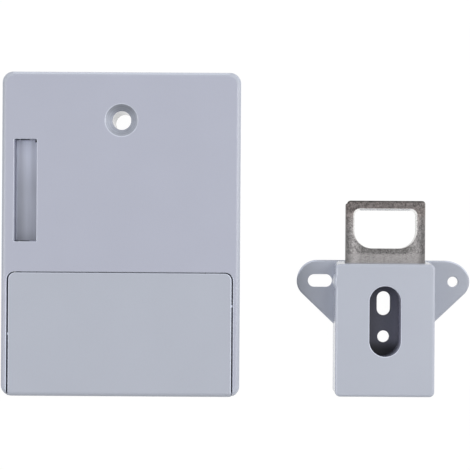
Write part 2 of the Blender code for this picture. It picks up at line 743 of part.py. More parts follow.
# Back cover
back_cover = round_block(
    "back_cover",
    (INNER_LEFT + GAP, INNER_RIGHT - GAP),
    (INNER_BOTTOM + GAP, INNER_TOP - GAP),
    (0.0, BACK_THICKNESS),
    max(inner_corner - GAP, GAP),
    0.0,
)
cut(
    back_cover,
    rod("tube_hole", "Z", (0.0, TUBE_Y), TUBE_RADIUS + GAP, (-OVERCUT, BACK_THICKNESS + OVERCUT)),
)
for number, place in enumerate(board_screws):
    add(
        back_cover,
        rod(
            f"board_post{number}",
            "Z",
            place,
            BOSS_RADIUS,
            (BACK_THICKNESS - ROOT, BOARD_LOW - GAP),
            SMALL_SIDES,
        ),
    )
    cut(
        back_cover,
        rod(
            f"board_post_hole{number}",
            "Z",
            place,
            SCREW_HOLE_RADIUS,
            (BACK_THICKNESS / 2, BOARD_LOW),
            SMALL_SIDES,
        ),
    )
case_screw_places = (
    (-top_boss_x, top_boss_y),
    (top_boss_x, top_boss_y),
    (-SIDE_BAY_MIDDLE, TRAY_SCREW_Y),
    (SIDE_BAY_MIDDLE, TRAY_SCREW_Y),
)
case_screw_seat = SCREW_HEAD_HEIGHT + GAP / 2
for number, place in enumerate(case_screw_places):
    through = (-OVERCUT, BACK_THICKNESS + OVERCUT)
    cut(back_cover, rod(f"cover_hole{number}", "Z", place, SCREW_HOLE_RADIUS, through, SMALL_SIDES))
    recess = (-OVERCUT, case_screw_seat + GAP)
    cut(back_cover, rod(f"cover_recess{number}", "Z", place, head_clear, recess, MEDIUM_SIDES))
    screw(f"case_screw_{number + 1}", *place, case_screw_seat, INNER_LOW + SCREW_BITE, True)
for side in (-1, 1):
    mount_place = (side * SIDE_BAY_MIDDLE, MOUNT_Y)
    cut(
        back_cover,
        rod(
            f"back_mount_hole{side}",
            "Z",
            mount_place,
            MOUNT_HOLE_BORE / 2,
            (-OVERCUT, BACK_THICKNESS + OVERCUT),
            MEDIUM_SIDES,
        ),
    )
finish(back_cover, GREY)

# Slot chute behind the front wall
chute_x = (CHUTE_LEFT - CHUTE_WALL, CHUTE_RIGHT + CHUTE_WALL)
chute_y = (CHUTE_LOW_END - CHUTE_WALL, CHUTE_HIGH_END + CHUTE_WALL)
slot_chute = block("slot_chute", chute_x, chute_y, (INNER_LOW, CHUTE_HIGH))
cut(
    slot_chute,
    block(
        "chute_hollow",
        (CHUTE_LEFT, CHUTE_RIGHT),
        (CHUTE_LOW_END, CHUTE_HIGH_END),
        (INNER_LOW - OVERCUT, CHUTE_HIGH + OVERCUT),
    ),
)
cut(
    slot_chute,
    block(
        "bolt_window",
        (CHUTE_RIGHT - OVERCUT, CHUTE_RIGHT + CHUTE_WALL + OVERCUT),
        (SLOT_Y - BOLT_SIDE - GUIDE_PLAY, SLOT_Y + BOLT_SIDE + GUIDE_PLAY),
        (BOLT_LOW - GUIDE_PLAY, BOLT_HIGH + GUIDE_PLAY),
    ),
)
stop_x = (SHUTTER_X + SLOT_WIDTH / 2, CHUTE_RIGHT + ROOT)
stop_z = (SHUTTER_HIGH + GAP, SHUTTER_HIGH + GAP + CHUTE_WALL)
add(
    slot_chute,
    block("shutter_stop_low", stop_x, (CHUTE_LOW_END - ROOT, CHUTE_LOW_END + SHUTTER_STOP), stop_z),
)
add(
    slot_chute,
    block("shutter_stop_high", stop_x, (CHUTE_HIGH_END - SHUTTER_STOP, CHUTE_HIGH_END + ROOT), stop_z),
)
cut(
    slot_chute,
    rod(
        "pin_holes",
        "Y",
        (SHUTTER_X, SHUTTER_Z),
        SHUTTER_PIN_RADIUS + GAP,
        (chute_y[0] - OVERCUT, chute_y[1] + OVERCUT),
        SMALL_SIDES,
    ),
)
finish(slot_chute, GREY)

# Shutter on its pin, closed at rest
shutter_ends = (CHUTE_LOW_END + GAP, CHUTE_HIGH_END - GAP)
shutter_pivot = (SHUTTER_X, SLOT_Y, SHUTTER_Z)
slot_shutter = block(
    "slot_shutter",
    (SHUTTER_X, CHUTE_RIGHT - GAP),
    shutter_ends,
    (SHUTTER_LOW, SHUTTER_HIGH),
)
add(
    slot_shutter,
    rod("shutter_barrel", "Y", (SHUTTER_X, SHUTTER_Z), SHUTTER_BARREL, shutter_ends, MEDIUM_SIDES),
)
cut(
    slot_shutter,
    rod(
        "shutter_bore",
        "Y",
        (SHUTTER_X, SHUTTER_Z),
        SHUTTER_PIN_RADIUS + GAP,
        (shutter_ends[0] - OVERCUT, shutter_ends[1] + OVERCUT),
        SMALL_SIDES,
    ),
)
finish(slot_shutter, GREY, shutter_pivot)
torsion_start = chute_y[0] - 2 * GAP - TORSION_WIRE
torsion_end = torsion_start - TORSION_TURNS * TORSION_PITCH
shutter_pin = rod(
    "shutter_pin",
    "Y",
    (SHUTTER_X, SHUTTER_Z),
    SHUTTER_PIN_RADIUS,
    (torsion_end - TORSION_PITCH / 2, chute_y[1] + GAP),
    SMALL_SIDES,
)
finish(shutter_pin, STEEL, shutter_pivot)

# Torsion spring round the lower end of the pin
torsion_path = [(SHUTTER_X + TORSION_LEG, torsion_start, SHUTTER_Z - TORSION_RADIUS)]
for step in range(TORSION_TURNS * COIL_POINTS + 1):
    turn_angle = 2 * math.pi * step / COIL_POINTS
    torsion_path.append(
        (
            SHUTTER_X - TORSION_RADIUS * math.sin(turn_angle),
            torsion_start - TORSION_PITCH * step / COIL_POINTS,
            SHUTTER_Z - TORSION_RADIUS * math.cos(turn_angle),
        )
    )
torsion_path.append((SHUTTER_X - TORSION_LEG / 2, torsion_end, SHUTTER_Z - TORSION_RADIUS))
finish(tube("shutter_spring", torsion_path, TORSION_WIRE), STEEL)
torsion_gap = least_coil_gap(torsion_path[1:-1], TORSION_WIRE, COIL_POINTS)
print(f"shutter_spring least gap {torsion_gap * 1000:.2f} mm")

# Latch bolt with its rack
rack_tip = RACK_PITCH - TOOTH_MODULE * TOOTH_ADDENDUM
half_tooth = TOOTH_PITCH / 4 - TOOTH_BACKLASH / 4
root_half = half_tooth + (RACK_ROOT - RACK_PITCH) * math.tan(PRESSURE_ANGLE)
tip_half = half_tooth - (RACK_PITCH - rack_tip) * math.tan(PRESSURE_ANGLE)
teeth_left = math.floor((PINION_X - BOLT_SHOULDER - root_half) / TOOTH_PITCH - 0.25)
teeth_right = math.floor((BOLT_END - PINION_X - root_half) / TOOTH_PITCH - 0.25)
# A turn about X takes an outline's Y to Z and its depth to -Y.
upright_turn = Matrix.Rotation(math.pi / 2, 4, "X")
latch_bolt = block(
    "latch_bolt",
    (BOLT_TIP, BOLT_SHOULDER),
    (SLOT_Y - BOLT_SIDE, SLOT_Y + BOLT_SIDE),
    (BOLT_LOW, BOLT_HIGH),
)
soften(
    latch_bolt,
    BOLT_NOSE,
    lambda e: all(v.co.x < BOLT_TIP + GAP and v.co.z > BOLT_HIGH - GAP for v in e.verts),
    3,
)
add(
    latch_bolt,
    block(
        "bolt_stem",
        (BOLT_SHOULDER - ROOT, BOLT_END),
        (SLOT_Y - STEM_SIDE, SLOT_Y + STEM_SIDE),
        (RACK_ROOT, BOLT_HIGH - GAP),
    ),
)
tooth_side = STEM_SIDE - GAP
foot_half = root_half + ROOT * math.tan(PRESSURE_ANGLE)
for tooth in range(-teeth_left, teeth_right + 1):
    tooth_x = PINION_X + tooth * TOOTH_PITCH
    tooth_outline = [
        (tooth_x - foot_half, RACK_ROOT + ROOT),
        (tooth_x - tip_half, rack_tip),
        (tooth_x + tip_half, rack_tip),
        (tooth_x + foot_half, RACK_ROOT + ROOT),
    ]
    tooth_depth = (-SLOT_Y - tooth_side, -SLOT_Y + tooth_side)
    add(latch_bolt, flat(f"rack_tooth{tooth}", [tooth_outline], tooth_depth, upright_turn))
finish(latch_bolt, STEEL, (BOLT_TIP, SLOT_Y, (BOLT_LOW + BOLT_HIGH) / 2))

# Pinion with involute teeth and a gap facing the rack tooth at rest
base_radius = PINION_RADIUS * math.cos(PRESSURE_ANGLE)
tip_radius = PINION_RADIUS + TOOTH_MODULE * TOOTH_ADDENDUM
root_radius = PINION_RADIUS - TOOTH_MODULE * TOOTH_DEDENDUM
pitch_half = math.pi / (2 * PINION_TEETH) - TOOTH_BACKLASH / (4 * PINION_RADIUS)
involute_pitch = math.tan(PRESSURE_ANGLE) - PRESSURE_ANGLE


def tooth_half_angle(radius):
    """Half the angle that a pinion tooth covers at a radius."""
    if radius <= base_radius:
        return pitch_half + involute_pitch
    angle = math.acos(base_radius / radius)
    return pitch_half + involute_pitch - (math.tan(angle) - angle)


flank_radii = (root_radius, base_radius, (base_radius + tip_radius) / 2, tip_radius)
pinion_outline = []
for tooth in range(PINION_TEETH):
    tooth_angle = math.pi / 2 + (tooth + 0.5) * 2 * math.pi / PINION_TEETH
    for radius in flank_radii:
        flank = tooth_angle - tooth_half_angle(radius)
        pinion_outline.append((PINION_X + radius * math.cos(flank), PINION_Z + radius * math.sin(flank)))
    for radius in reversed(flank_radii):
        flank = tooth_angle + tooth_half_angle(radius)
        pinion_outline.append((PINION_X + radius * math.cos(flank), PINION_Z + radius * math.sin(flank)))
pinion_bore = circle(PINION_X, PINION_Z, MOTOR_SHAFT_RADIUS + GAP, SMALL_SIDES)
pinion_pivot = (PINION_X, SLOT_Y, PINION_Z)
drive_pinion = flat("drive_pinion", [pinion_outline, pinion_bore], (-PINION_END, -PINION_START), upright_turn)
finish(drive_pinion, BRASS, pinion_pivot)
motor_shaft = rod(
    "motor_shaft",
    "Y",
    (PINION_X, PINION_Z),
    MOTOR_SHAFT_RADIUS,
    (GEARBOX_FACE - MOTOR_SHAFT_SEAT + GAP, PINION_END),
    SMALL_SIDES,
)
finish(motor_shaft, STEEL, pinion_pivot)

# Gear motor and its clamp
motor_x = (MOTOR_LEFT, MOTOR_RIGHT)
motor_z = (MOTOR_LOW, MOTOR_HIGH)
motor_gearbox = block("motor_gearbox", motor_x, (GEARBOX_BACK, GEARBOX_FACE), motor_z)
cut(
    motor_gearbox,
    rod(
        "gearbox_bore",
        "Y",
        (PINION_X, PINION_Z),
        MOTOR_SHAFT_RADIUS + GAP,
        (GEARBOX_FACE - MOTOR_SHAFT_SEAT, GEARBOX_FACE + OVERCUT),
        SMALL_SIDES,
    ),
)
finish(motor_gearbox, BRASS)
motor_can = rod("motor_can", "Y", (PINION_X, PINION_Z), MOTOR_WIDTH / 2, (CAN_BACK, CAN_FACE))
for level, far in ((MOTOR_LOW, -OVERCUT), (MOTOR_HIGH, OVERCUT)):
    flat_z = sorted((level, level + 2 * far))
    cut(
        motor_can,
        block(
            f"can_flat{level > PINION_Z}",
            (MOTOR_LEFT - OVERCUT, MOTOR_RIGHT + OVERCUT),
            (CAN_BACK - OVERCUT, CAN_FACE + OVERCUT),
            flat_z,
        ),
    )
finish(motor_can, STEEL)
clamp_y = (CLAMP_Y - CLAMP_WIDTH / 2, CLAMP_Y + CLAMP_WIDTH / 2)
clamp_top = GUIDE_LOW - GAP
clamp_low = MOTOR_LOW - GAP - CLAMP_SHEET
motor_clamp = block(
    "motor_clamp",
    (CLAMP_LEFT - CLAMP_FOOT, CLAMP_RIGHT + CLAMP_FOOT),
    clamp_y,
    (clamp_low, clamp_top),
)
clamp_wide = (clamp_y[0] - OVERCUT, clamp_y[1] + OVERCUT)
cut(
    motor_clamp,
    block(
        "clamp_inside",
        (MOTOR_LEFT - GAP, MOTOR_RIGHT + GAP),
        clamp_wide,
        (MOTOR_LOW - GAP, clamp_top + OVERCUT),
    ),
)
for side, edge in ((-1, CLAMP_LEFT), (1, CLAMP_RIGHT)):
    under_x = sorted((edge, edge + side * (CLAMP_FOOT + OVERCUT)))
    cut(
        motor_clamp,
        block(f"clamp_outside{side}", under_x, clamp_wide, (clamp_low - OVERCUT, clamp_top - CLAMP_SHEET)),
    )
for number, place in enumerate((guide_screw_left, guide_screw_right)):
    cut(
        motor_clamp,
        rod(
            f"clamp_hole{number}",
            "Z",
            place,
            SCREW_HOLE_RADIUS,
            (clamp_top - CLAMP_SHEET - OVERCUT, clamp_top + OVERCUT),
            SMALL_SIDES,
        ),
    )
finish(motor_clamp, STEEL)

# Bolt guide
guide_outline = [
    (GUIDE_LEFT, GUIDE_BOTTOM),
    (GUIDE_RIGHT, GUIDE_BOTTOM),
    (GUIDE_RIGHT, SWITCH_ARM_TOP),
    (BOLT_END, SWITCH_ARM_TOP),
    (BOLT_END, GUIDE_TOP),
    (GUIDE_LEFT, GUIDE_TOP),
]
bolt_guide = flat("bolt_guide", [guide_outline], (GUIDE_LOW, GUIDE_HIGH))
rail_z = (BOLT_LOW, GUIDE_LOW + ROOT)
head_rail_end = min(BOLT_SHOULDER, CLAMP_LEFT - GAP, MOTOR_LEFT - GAP)
for side in (-1, 1):
    rail_near = SLOT_Y + side * (BOLT_SIDE + GUIDE_PLAY)
    rail_y = sorted((rail_near, rail_near + side * GUIDE_RAIL))
    add(bolt_guide, block(f"head_rail{side}", (GUIDE_LEFT, head_rail_end), rail_y, rail_z))
stem_rail_y = (SLOT_Y + STEM_SIDE + GUIDE_PLAY, STEM_RAIL_TOP)
add(
    bolt_guide,
    block("stem_rail", (BOLT_SHOULDER + 2 * GAP, BOLT_END - GAP), stem_rail_y, (RACK_ROOT, GUIDE_LOW + ROOT)),
)
add(
    bolt_guide,
    block(
        "motor_seat",
        (MOTOR_LEFT + GAP, MOTOR_RIGHT - GAP),
        (CAN_BACK + GAP, GEARBOX_FACE - GAP),
        (MOTOR_HIGH + GAP, GUIDE_LOW + ROOT),
    ),
)
for number, place in enumerate(guide_screws):
    hole_span = (GUIDE_LOW - OVERCUT, GUIDE_HIGH + OVERCUT)
    cut(bolt_guide, rod(f"guide_hole{number}", "Z", place, SCREW_HOLE_RADIUS, hole_span, SMALL_SIDES))
finish(bolt_guide, WHITE)
for number, place in enumerate(guide_screws):
    seat = GUIDE_LOW - GAP
    if place[1] == CLAMP_Y:
        seat = clamp_top - CLAMP_SHEET - GAP
    screw(f"guide_screw_{number + 1}", *place, seat, GUIDE_HIGH + GAP + BOSS_WALL, True)

# Steel keeper across the bolt head
keeper_x = (GUIDE_LEFT + GAP, GUIDE_LEFT + GAP + KEEPER_WIDTH)
keeper_end = BOLT_SIDE + GUIDE_PLAY + GUIDE_RAIL + GAP
keeper_low = BOLT_LOW - GAP - KEEPER_SHEET
bolt_keeper = block(
    "bolt_keeper",
    keeper_x,
    (SLOT_Y - keeper_end - KEEPER_SHEET, SLOT_Y + keeper_end + KEEPER_SHEET),
    (keeper_low, GUIDE_LOW - GAP),
)
cut(
    bolt_keeper,
    block(
        "keeper_inside",
        (keeper_x[0] - OVERCUT, keeper_x[1] + OVERCUT),
        (SLOT_Y - keeper_end, SLOT_Y + keeper_end),
        (BOLT_LOW - GAP, GUIDE_LOW + OVERCUT),
    ),
)
finish(bolt_keeper, STEEL)

# Limit switch at the end of the bolt's stem
switch_x = BOLT_END + 2 * GAP
limit_switch = round_block(
    "limit_switch",
    (switch_x, switch_x + LIMIT_SWITCH_LENGTH),
    (SLOT_Y - LIMIT_SWITCH_WIDTH / 2, SLOT_Y + LIMIT_SWITCH_WIDTH / 2),
    (GUIDE_LOW - GAP - LIMIT_SWITCH_HEIGHT, GUIDE_LOW - GAP),
    GAP,
    0.0,
)
finish(limit_switch, BLACK)

# Battery tray, open towards the bottom wall
tray_high = FRONT_INNER - GAP
tray_y = (TRAY_BOTTOM, TRAY_TOP)
battery_tray = block("battery_tray", (-TRAY_SIDE, TRAY_SIDE), tray_y, (TRAY_LOW, tray_high))
bay_y = (TRAY_BOTTOM - OVERCUT, TRAY_INNER_TOP)
partition_high = TRAY_FLOOR_HIGH + TRAY_PARTITION_HEIGHT
cut(
    battery_tray,
    block(
        "tray_upper_space",
        (-TRAY_INNER_SIDE, TRAY_INNER_SIDE),
        bay_y,
        (partition_high, tray_high + OVERCUT),
    ),
)
cut(
    battery_tray,
    block(
        "cell_bay",
        (-PARTITION_INNER, PARTITION_INNER),
        bay_y,
        (TRAY_FLOOR_HIGH, partition_high + OVERCUT),
    ),
)
for side in (-1, 1):
    side_bay_x = sorted((side * PARTITION_OUTER, side * TRAY_INNER_SIDE))
    cut(
        battery_tray,
        block(f"side_bay{side}", side_bay_x, bay_y, (TRAY_FLOOR_HIGH, partition_high + OVERCUT)),
    )
    boss_span = (INNER_LOW, TRAY_LOW + ROOT)
    mount_place = (side * SIDE_BAY_MIDDLE, MOUNT_Y)
    mount_radius = MOUNT_HOLE_BORE / 2
    mount_outer = mount_radius + BOSS_WALL
    add(battery_tray, rod(f"mount_boss{side}", "Z", mount_place, mount_outer, boss_span, MEDIUM_SIDES))
    mount_span = (INNER_LOW - OVERCUT, TRAY_FLOOR_HIGH + OVERCUT)
    cut(battery_tray, rod(f"mount_hole{side}", "Z", mount_place, mount_radius, mount_span, MEDIUM_SIDES))
    screw_place = (side * SIDE_BAY_MIDDLE, TRAY_SCREW_Y)
    add(battery_tray, rod(f"tray_boss{side}", "Z", screw_place, BOSS_RADIUS, boss_span, SMALL_SIDES))
    cut(
        battery_tray,
        rod(
            f"tray_boss_hole{side}",
            "Z",
            screw_place,
            SCREW_HOLE_RADIUS,
            (INNER_LOW - OVERCUT, TRAY_LOW + ROOT),
            SMALL_SIDES,
        ),
    )
button_place = (SIDE_BAY_MIDDLE, BUTTON_Y)
button_high = TRAY_FLOOR_HIGH + BUTTON_PROUD
cut(
    battery_tray,
    rod(
        "button_hole",
        "Z",
        button_place,
        BUTTON_RADIUS + GAP,
        (TRAY_LOW - OVERCUT, button_high + GAP),
        MEDIUM_SIDES,
    ),
)
lead_hole_radius = LEAD_RADIUS + GAP
lead_x = (PARTITION_OUTER + CONTACT_TAB / 2, PARTITION_OUTER + CONTACT_TAB / 2 + LEAD_SPACING)
for number, x in enumerate(lead_x):
    cut(
        battery_tray,
        rod(
            f"lead_hole{number}",
            "Y",
            (x, CELL_MIDDLE),
            lead_hole_radius,
            (TRAY_INNER_TOP - OVERCUT, TRAY_TOP + OVERCUT),
            SMALL_SIDES,
        ),
    )

# Cells in turn, their contacts and their springs
cell_y = [CELL_FIRST + number * CELL_PITCH for number in range(CELL_COUNT)]
contact_x = PARTITION_INNER - GAP - CONTACT_SHEET
nub_end = contact_x - GAP
for number, y in enumerate(cell_y):
    way = 1 if number % 2 == 0 else -1
    body_span = sorted((way * (nub_end - CELL_LENGTH), way * (nub_end - CELL_NUB_LENGTH)))
    cell = rod(
        f"battery_cell_{number + 1}",
        "X",
        (y, CELL_MIDDLE),
        CELL_DIAMETER / 2,
        body_span,
    )
    nub_span = sorted((way * (nub_end - CELL_NUB_LENGTH - ROOT), way * nub_end))
    add(cell, rod(f"cell_nub{number}", "X", (y, CELL_MIDDLE), CELL_NUB_RADIUS, nub_span, SMALL_SIDES))
    finish(cell, CELL_WRAP)
    spring_path = []
    spring_steps = SPRING_TURNS * COIL_POINTS
    run = SPRING_LENGTH - 2 * GAP - 2 * SPRING_WIRE
    for step in range(spring_steps + 1):
        share = step / spring_steps
        radius = SPRING_BASE_RADIUS + (SPRING_TIP_RADIUS - SPRING_BASE_RADIUS) * share
        turn_angle = 2 * math.pi * step / COIL_POINTS
        spring_path.append(
            (
                -way * (contact_x - GAP - SPRING_WIRE - run * share),
                y + radius * math.cos(turn_angle),
                CELL_MIDDLE + radius * math.sin(turn_angle),
            )
        )
    finish(tube(f"contact_spring_{number + 1}", spring_path, SPRING_WIRE), NICKEL)
spring_gap = least_coil_gap(spring_path, SPRING_WIRE, COIL_POINTS)
print(f"contact springs least gap {spring_gap * 1000:.2f} mm")

contact_z = (CELL_MIDDLE - CONTACT_HEIGHT / 2, CELL_MIDDLE + CONTACT_HEIGHT / 2)
contact_groups = [(-1, number, number + 1) for number in range(0, CELL_COUNT - 1, 2)]
contact_groups += [(1, number, number + 1) for number in range(1, CELL_COUNT - 2, 2)]
contact_groups += [(1, 0, 0), (1, CELL_COUNT - 1, CELL_COUNT - 1)]
for number, (side, first, last) in enumerate(contact_groups):
    sheet_x = sorted((side * contact_x, side * (contact_x + CONTACT_SHEET)))
    sheet_y = (cell_y[first] - CONTACT_WIDTH / 2, cell_y[last] + CONTACT_WIDTH / 2)
    plate = block(f"contact_plate_{number + 1}", sheet_x, sheet_y, contact_z)
    if first == last:
        tab_y = (cell_y[first] - CONTACT_TAB_WIDTH / 2, cell_y[first] + CONTACT_TAB_WIDTH / 2)
        tab_z = (contact_z[0], contact_z[0] + CONTACT_SHEET)
        tab_x = (contact_x, PARTITION_OUTER + CONTACT_TAB)
        add(plate, block(f"contact_tab{number}", tab_x, tab_y, tab_z))
        slot_wide_y = (tab_y[0] - GAP, tab_y[1] + GAP)
        slot_wide_z = (tab_z[0] - GAP, tab_z[1] + GAP)
        slot_wide_x = (PARTITION_INNER - OVERCUT, PARTITION_OUTER + OVERCUT)
        cut(battery_tray, block(f"tab_slot{number}", slot_wide_x, slot_wide_y, slot_wide_z))
    finish(plate, NICKEL)
finish(battery_tray, CHARCOAL)

# Battery cover, flush with the front face and wrapped over the bottom edge
battery_cover = case_shape("battery_cover")
plate_outline = rectangle(
    (-cover_side, cover_side),
    (BOTTOM - OVERCUT, cover_top),
    COVER_CORNER,
    OVERCUT / 2,
)
combine(
    battery_cover,
    flat("cover_outline", [plate_outline], (skirt_low, CASE_DEPTH + OVERCUT)),
    "INTERSECT",
)
cut(
    battery_cover,
    block(
        "cover_underside",
        (-cover_side - OVERCUT, cover_side + OVERCUT),
        (BOTTOM + COVER_SKIRT_THICKNESS, cover_top + OVERCUT),
        (skirt_low - OVERCUT, COVER_LOW),
    ),
)
runner_y = (BOTTOM + COVER_SKIRT_THICKNESS - ROOT, cover_top - COVER_CORNER)
lip_root = cover_top - COVER_LIP_REACH
lip_high = FRONT_INNER - GAP
lip_z = (lip_high - COVER_LIP_THICKNESS, lip_high)
for side in (-1, 1):
    runner_x = sorted((side * RUNNER_INNER, side * RUNNER_OUTER))
    add(battery_cover, block(f"runner{side}", runner_x, runner_y, (RUNNER_LOW, COVER_LOW + ROOT)))
    foot_x = sorted((side * RUNNER_INNER, side * (INNER_RIGHT - 2 * GAP)))
    foot_z = (RUNNER_LOW, RUNNER_LOW + RUNNER_FLANGE)
    add(battery_cover, block(f"runner_foot{side}", foot_x, runner_y, foot_z))
    lip_outer = TRAY_INNER_SIDE - 2 * GAP
    lip_x = sorted((side * (lip_outer - COVER_LIP_WIDTH), side * lip_outer))
    add(battery_cover, block(f"lip{side}", lip_x, (lip_root, TRAY_INNER_TOP - 2 * GAP), lip_z))
    add(
        battery_cover,
        block(
            f"lip_root{side}",
            lip_x,
            (lip_root - COVER_LIP_REACH, lip_root + ROOT),
            (lip_z[0], COVER_LOW + ROOT),
        ),
    )
finish(battery_cover, GREY, (0.0, COVER_LINE, CASE_DEPTH))
foam_y = (cell_y[0], cell_y[-1] - CELL_DIAMETER / 2)
cover_foam = block(
    "cover_foam",
    (-FOAM_WIDTH / 2, FOAM_WIDTH / 2),
    foam_y,
    (CELL_HIGH + GAP, COVER_LOW - GAP),
)
finish(cover_foam, FOAM, (0.0, COVER_LINE, CASE_DEPTH))

# Circuit board with a tail under the tray
circuit_board = block(
    "circuit_board",
    (BOARD_LEFT, BOARD_RIGHT),
    (BOARD_BOTTOM, BOARD_TOP),
    (BOARD_LOW, BOARD_HIGH),
)
tail_x = (SIDE_BAY_MIDDLE - BOARD_TAIL_WIDTH / 2, SIDE_BAY_MIDDLE + BOARD_TAIL_WIDTH / 2)
tail_y = (BOARD_BOTTOM - BOARD_TAIL_LENGTH, BOARD_BOTTOM + ROOT)
add(circuit_board, block("board_tail", tail_x, tail_y, (BOARD_LOW, BOARD_HIGH)))
for number, place in enumerate(board_screws):
    hole_span = (BOARD_LOW - OVERCUT, BOARD_HIGH + OVERCUT)
    cut(circuit_board, rod(f"board_hole{number}", "Z", place, SCREW_HOLE_RADIUS, hole_span, SMALL_SIDES))
    screw(f"board_screw_{number + 1}", *place, BOARD_HIGH + GAP, BACK_THICKNESS / 2 + GAP, False)
finish(circuit_board, BOARD_GREEN)
board_low = BOARD_HIGH + GAP
board_middle = (BOARD_LEFT + BOARD_RIGHT) / 2
board_rise = (BOARD_TOP - BOARD_BOTTOM) / 6


def on_board(name, x, y, size_x, size_y, height, material):
    """A rectangular component standing on the board."""
    made = block(
        name,
        (x - size_x / 2, x + size_x / 2),
        (y - size_y / 2, y + size_y / 2),
        (board_low, board_low + height),
    )
    return finish(made, material)


chip_y = BOARD_BOTTOM + 3 * board_rise
on_board("controller_chip", board_middle, chip_y, CHIP_SIZE, CHIP_SIZE, CHIP_HEIGHT, BLACK)
radio_x = board_middle + CHIP_SIZE
radio_y = BOARD_BOTTOM + 2 * board_rise
on_board("radio_chip", radio_x, radio_y, RADIO_SIZE, RADIO_SIZE, RADIO_HEIGHT, BLACK)
buzzer_place = (board_middle + BUZZER_RADIUS, BOARD_BOTTOM + 5 * board_rise)
buzzer = rod("buzzer", "Z", buzzer_place, BUZZER_RADIUS, (board_low, board_low + BUZZER_HEIGHT))
port_span = (board_low + BUZZER_HEIGHT / 2, board_low + BUZZER_HEIGHT + OVERCUT)
cut(buzzer, rod("buzzer_port", "Z", buzzer_place, BUZZER_PORT, port_span, SMALL_SIDES))
finish(buzzer, BLACK)
capacitor_place = (BOARD_LEFT + 2 * CAPACITOR_RADIUS, BOARD_BOTTOM + 2 * board_rise)
power_capacitor = rod(
    "power_capacitor",
    "Z",
    capacitor_place,
    CAPACITOR_RADIUS,
    (board_low, board_low + CAPACITOR_HEIGHT),
    MEDIUM_SIDES,
)
finish(power_capacitor, STEEL)
socket_x = BOARD_LEFT + SOCKET_LENGTH / 2 + 2 * GAP
socket_y = BOARD_BOTTOM + board_rise / 2
on_board("lead_socket", socket_x, socket_y, SOCKET_LENGTH, SOCKET_WIDTH, SOCKET_HEIGHT, WHITE)
on_board("setup_switch", SIDE_BAY_MIDDLE, BUTTON_Y, SWITCH_SIZE, SWITCH_SIZE, SWITCH_HEIGHT, BLACK)

# Setup button through the tray floor
setup_button = rod("setup_button", "Z", button_place, BUTTON_RADIUS, (FLANGE_LOW, button_high), MEDIUM_SIDES)
add(
    setup_button,
    rod("button_flange", "Z", button_place, BUTTON_FLANGE_RADIUS, (FLANGE_LOW, FLANGE_HIGH), MEDIUM_SIDES),
)
finish(setup_button, WHITE, (*button_place, FLANGE_LOW))

# Antenna coil between the board and the back cover
coil_x = (BOARD_LEFT + COIL_MARGIN, BOARD_RIGHT - COIL_SIDE_MARGIN)
coil_y = (BOARD_BOTTOM + COIL_MARGIN, BOARD_TOP - COIL_SIDE_MARGIN)
coil_outer = rectangle(coil_x, coil_y, COIL_BAND, COIL_BAND)
coil_inner = rectangle(
    (coil_x[0] + COIL_BAND, coil_x[1] - COIL_BAND),
    (coil_y[0] + COIL_BAND, coil_y[1] - COIL_BAND),
    COIL_BAND / 2,
    COIL_BAND / 2,
)
antenna_coil = flat("antenna_coil", [coil_outer, coil_inner], (INNER_LOW, INNER_LOW + COIL_THICKNESS))
finish(antenna_coil, COPPER)

# Leads from the motor and from the batteries to the socket
lead_top = board_low + SOCKET_HEIGHT + GAP + LEAD_RADIUS
socket_step = SOCKET_LENGTH / 5
lead_run = (CAN_BACK + CHAMBER_BOTTOM) / 2
for number, (colour, material) in enumerate((("red", RED), ("black", BLACK))):
    offset = (number - 0.5) * LEAD_SPACING
    terminal_x = PINION_X + 2 * offset
    lead_z = PINION_Z + offset
    end_x = socket_x - SOCKET_LENGTH / 2 + socket_step * (number + 1)
    motor_knots = [
        (terminal_x, CAN_BACK - GAP - LEAD_RADIUS, lead_z),
        (terminal_x + 2 * LEAD_SPACING, lead_run, lead_z),
        (CLAMP_RIGHT + CLAMP_FOOT, lead_run, lead_z),
        (GUIDE_RIGHT - LEAD_SPACING, lead_run, lead_top + offset),
        (end_x - LEAD_SPACING, lead_run, lead_top + LEAD_SPACING + offset),
        (end_x, socket_y - SOCKET_WIDTH / 4, lead_top),
    ]
    finish(tube(f"motor_lead_{colour}", smooth_path(motor_knots), LEAD_RADIUS), material)
    source = cell_y[0] if number else cell_y[-1]
    tab_high = contact_z[0] + CONTACT_SHEET + GAP + LEAD_RADIUS
    start_x = lead_x[number]
    finish_x = socket_x - SOCKET_LENGTH / 2 + socket_step * (4 - number)
    run_z = CELL_MIDDLE + number * LEAD_SPACING
    run_y = socket_y + number * LEAD_SPACING
    battery_knots = [
        (PARTITION_OUTER + CONTACT_TAB / 2, source, tab_high),
        (start_x, source + 2 * LEAD_SPACING, CELL_MIDDLE),
        (start_x, TRAY_INNER_TOP - LEAD_SPACING, CELL_MIDDLE),
        (start_x, CHAMBER_BOTTOM + LEAD_SPACING / 2, CELL_MIDDLE),
        (start_x - LEAD_SPACING, run_y, run_z),
        (finish_x + 2 * LEAD_SPACING, run_y, run_z),
        (finish_x, socket_y + SOCKET_WIDTH / 4, lead_top),
    ]
    finish(tube(f"battery_lead_{colour}", smooth_path(battery_knots), LEAD_RADIUS), material)

# Strike housing with a top wall that leans back
strike_side = STRIKE_WIDTH / 2
strike_housing = round_block(
    "strike_housing",
    (STRIKE_X - strike_side, STRIKE_X + strike_side),
    (STRIKE_BOTTOM, STRIKE_TOP),
    (0.0, STRIKE_DEPTH),
    STRIKE_CORNER,
    STRIKE_EDGE,
)
for vert in strike_housing.data.vertices:
    if vert.co.y > STRIKE_Y:
        vert.co.y += STRIKE_SLOPE * (1 - vert.co.z / STRIKE_DEPTH)


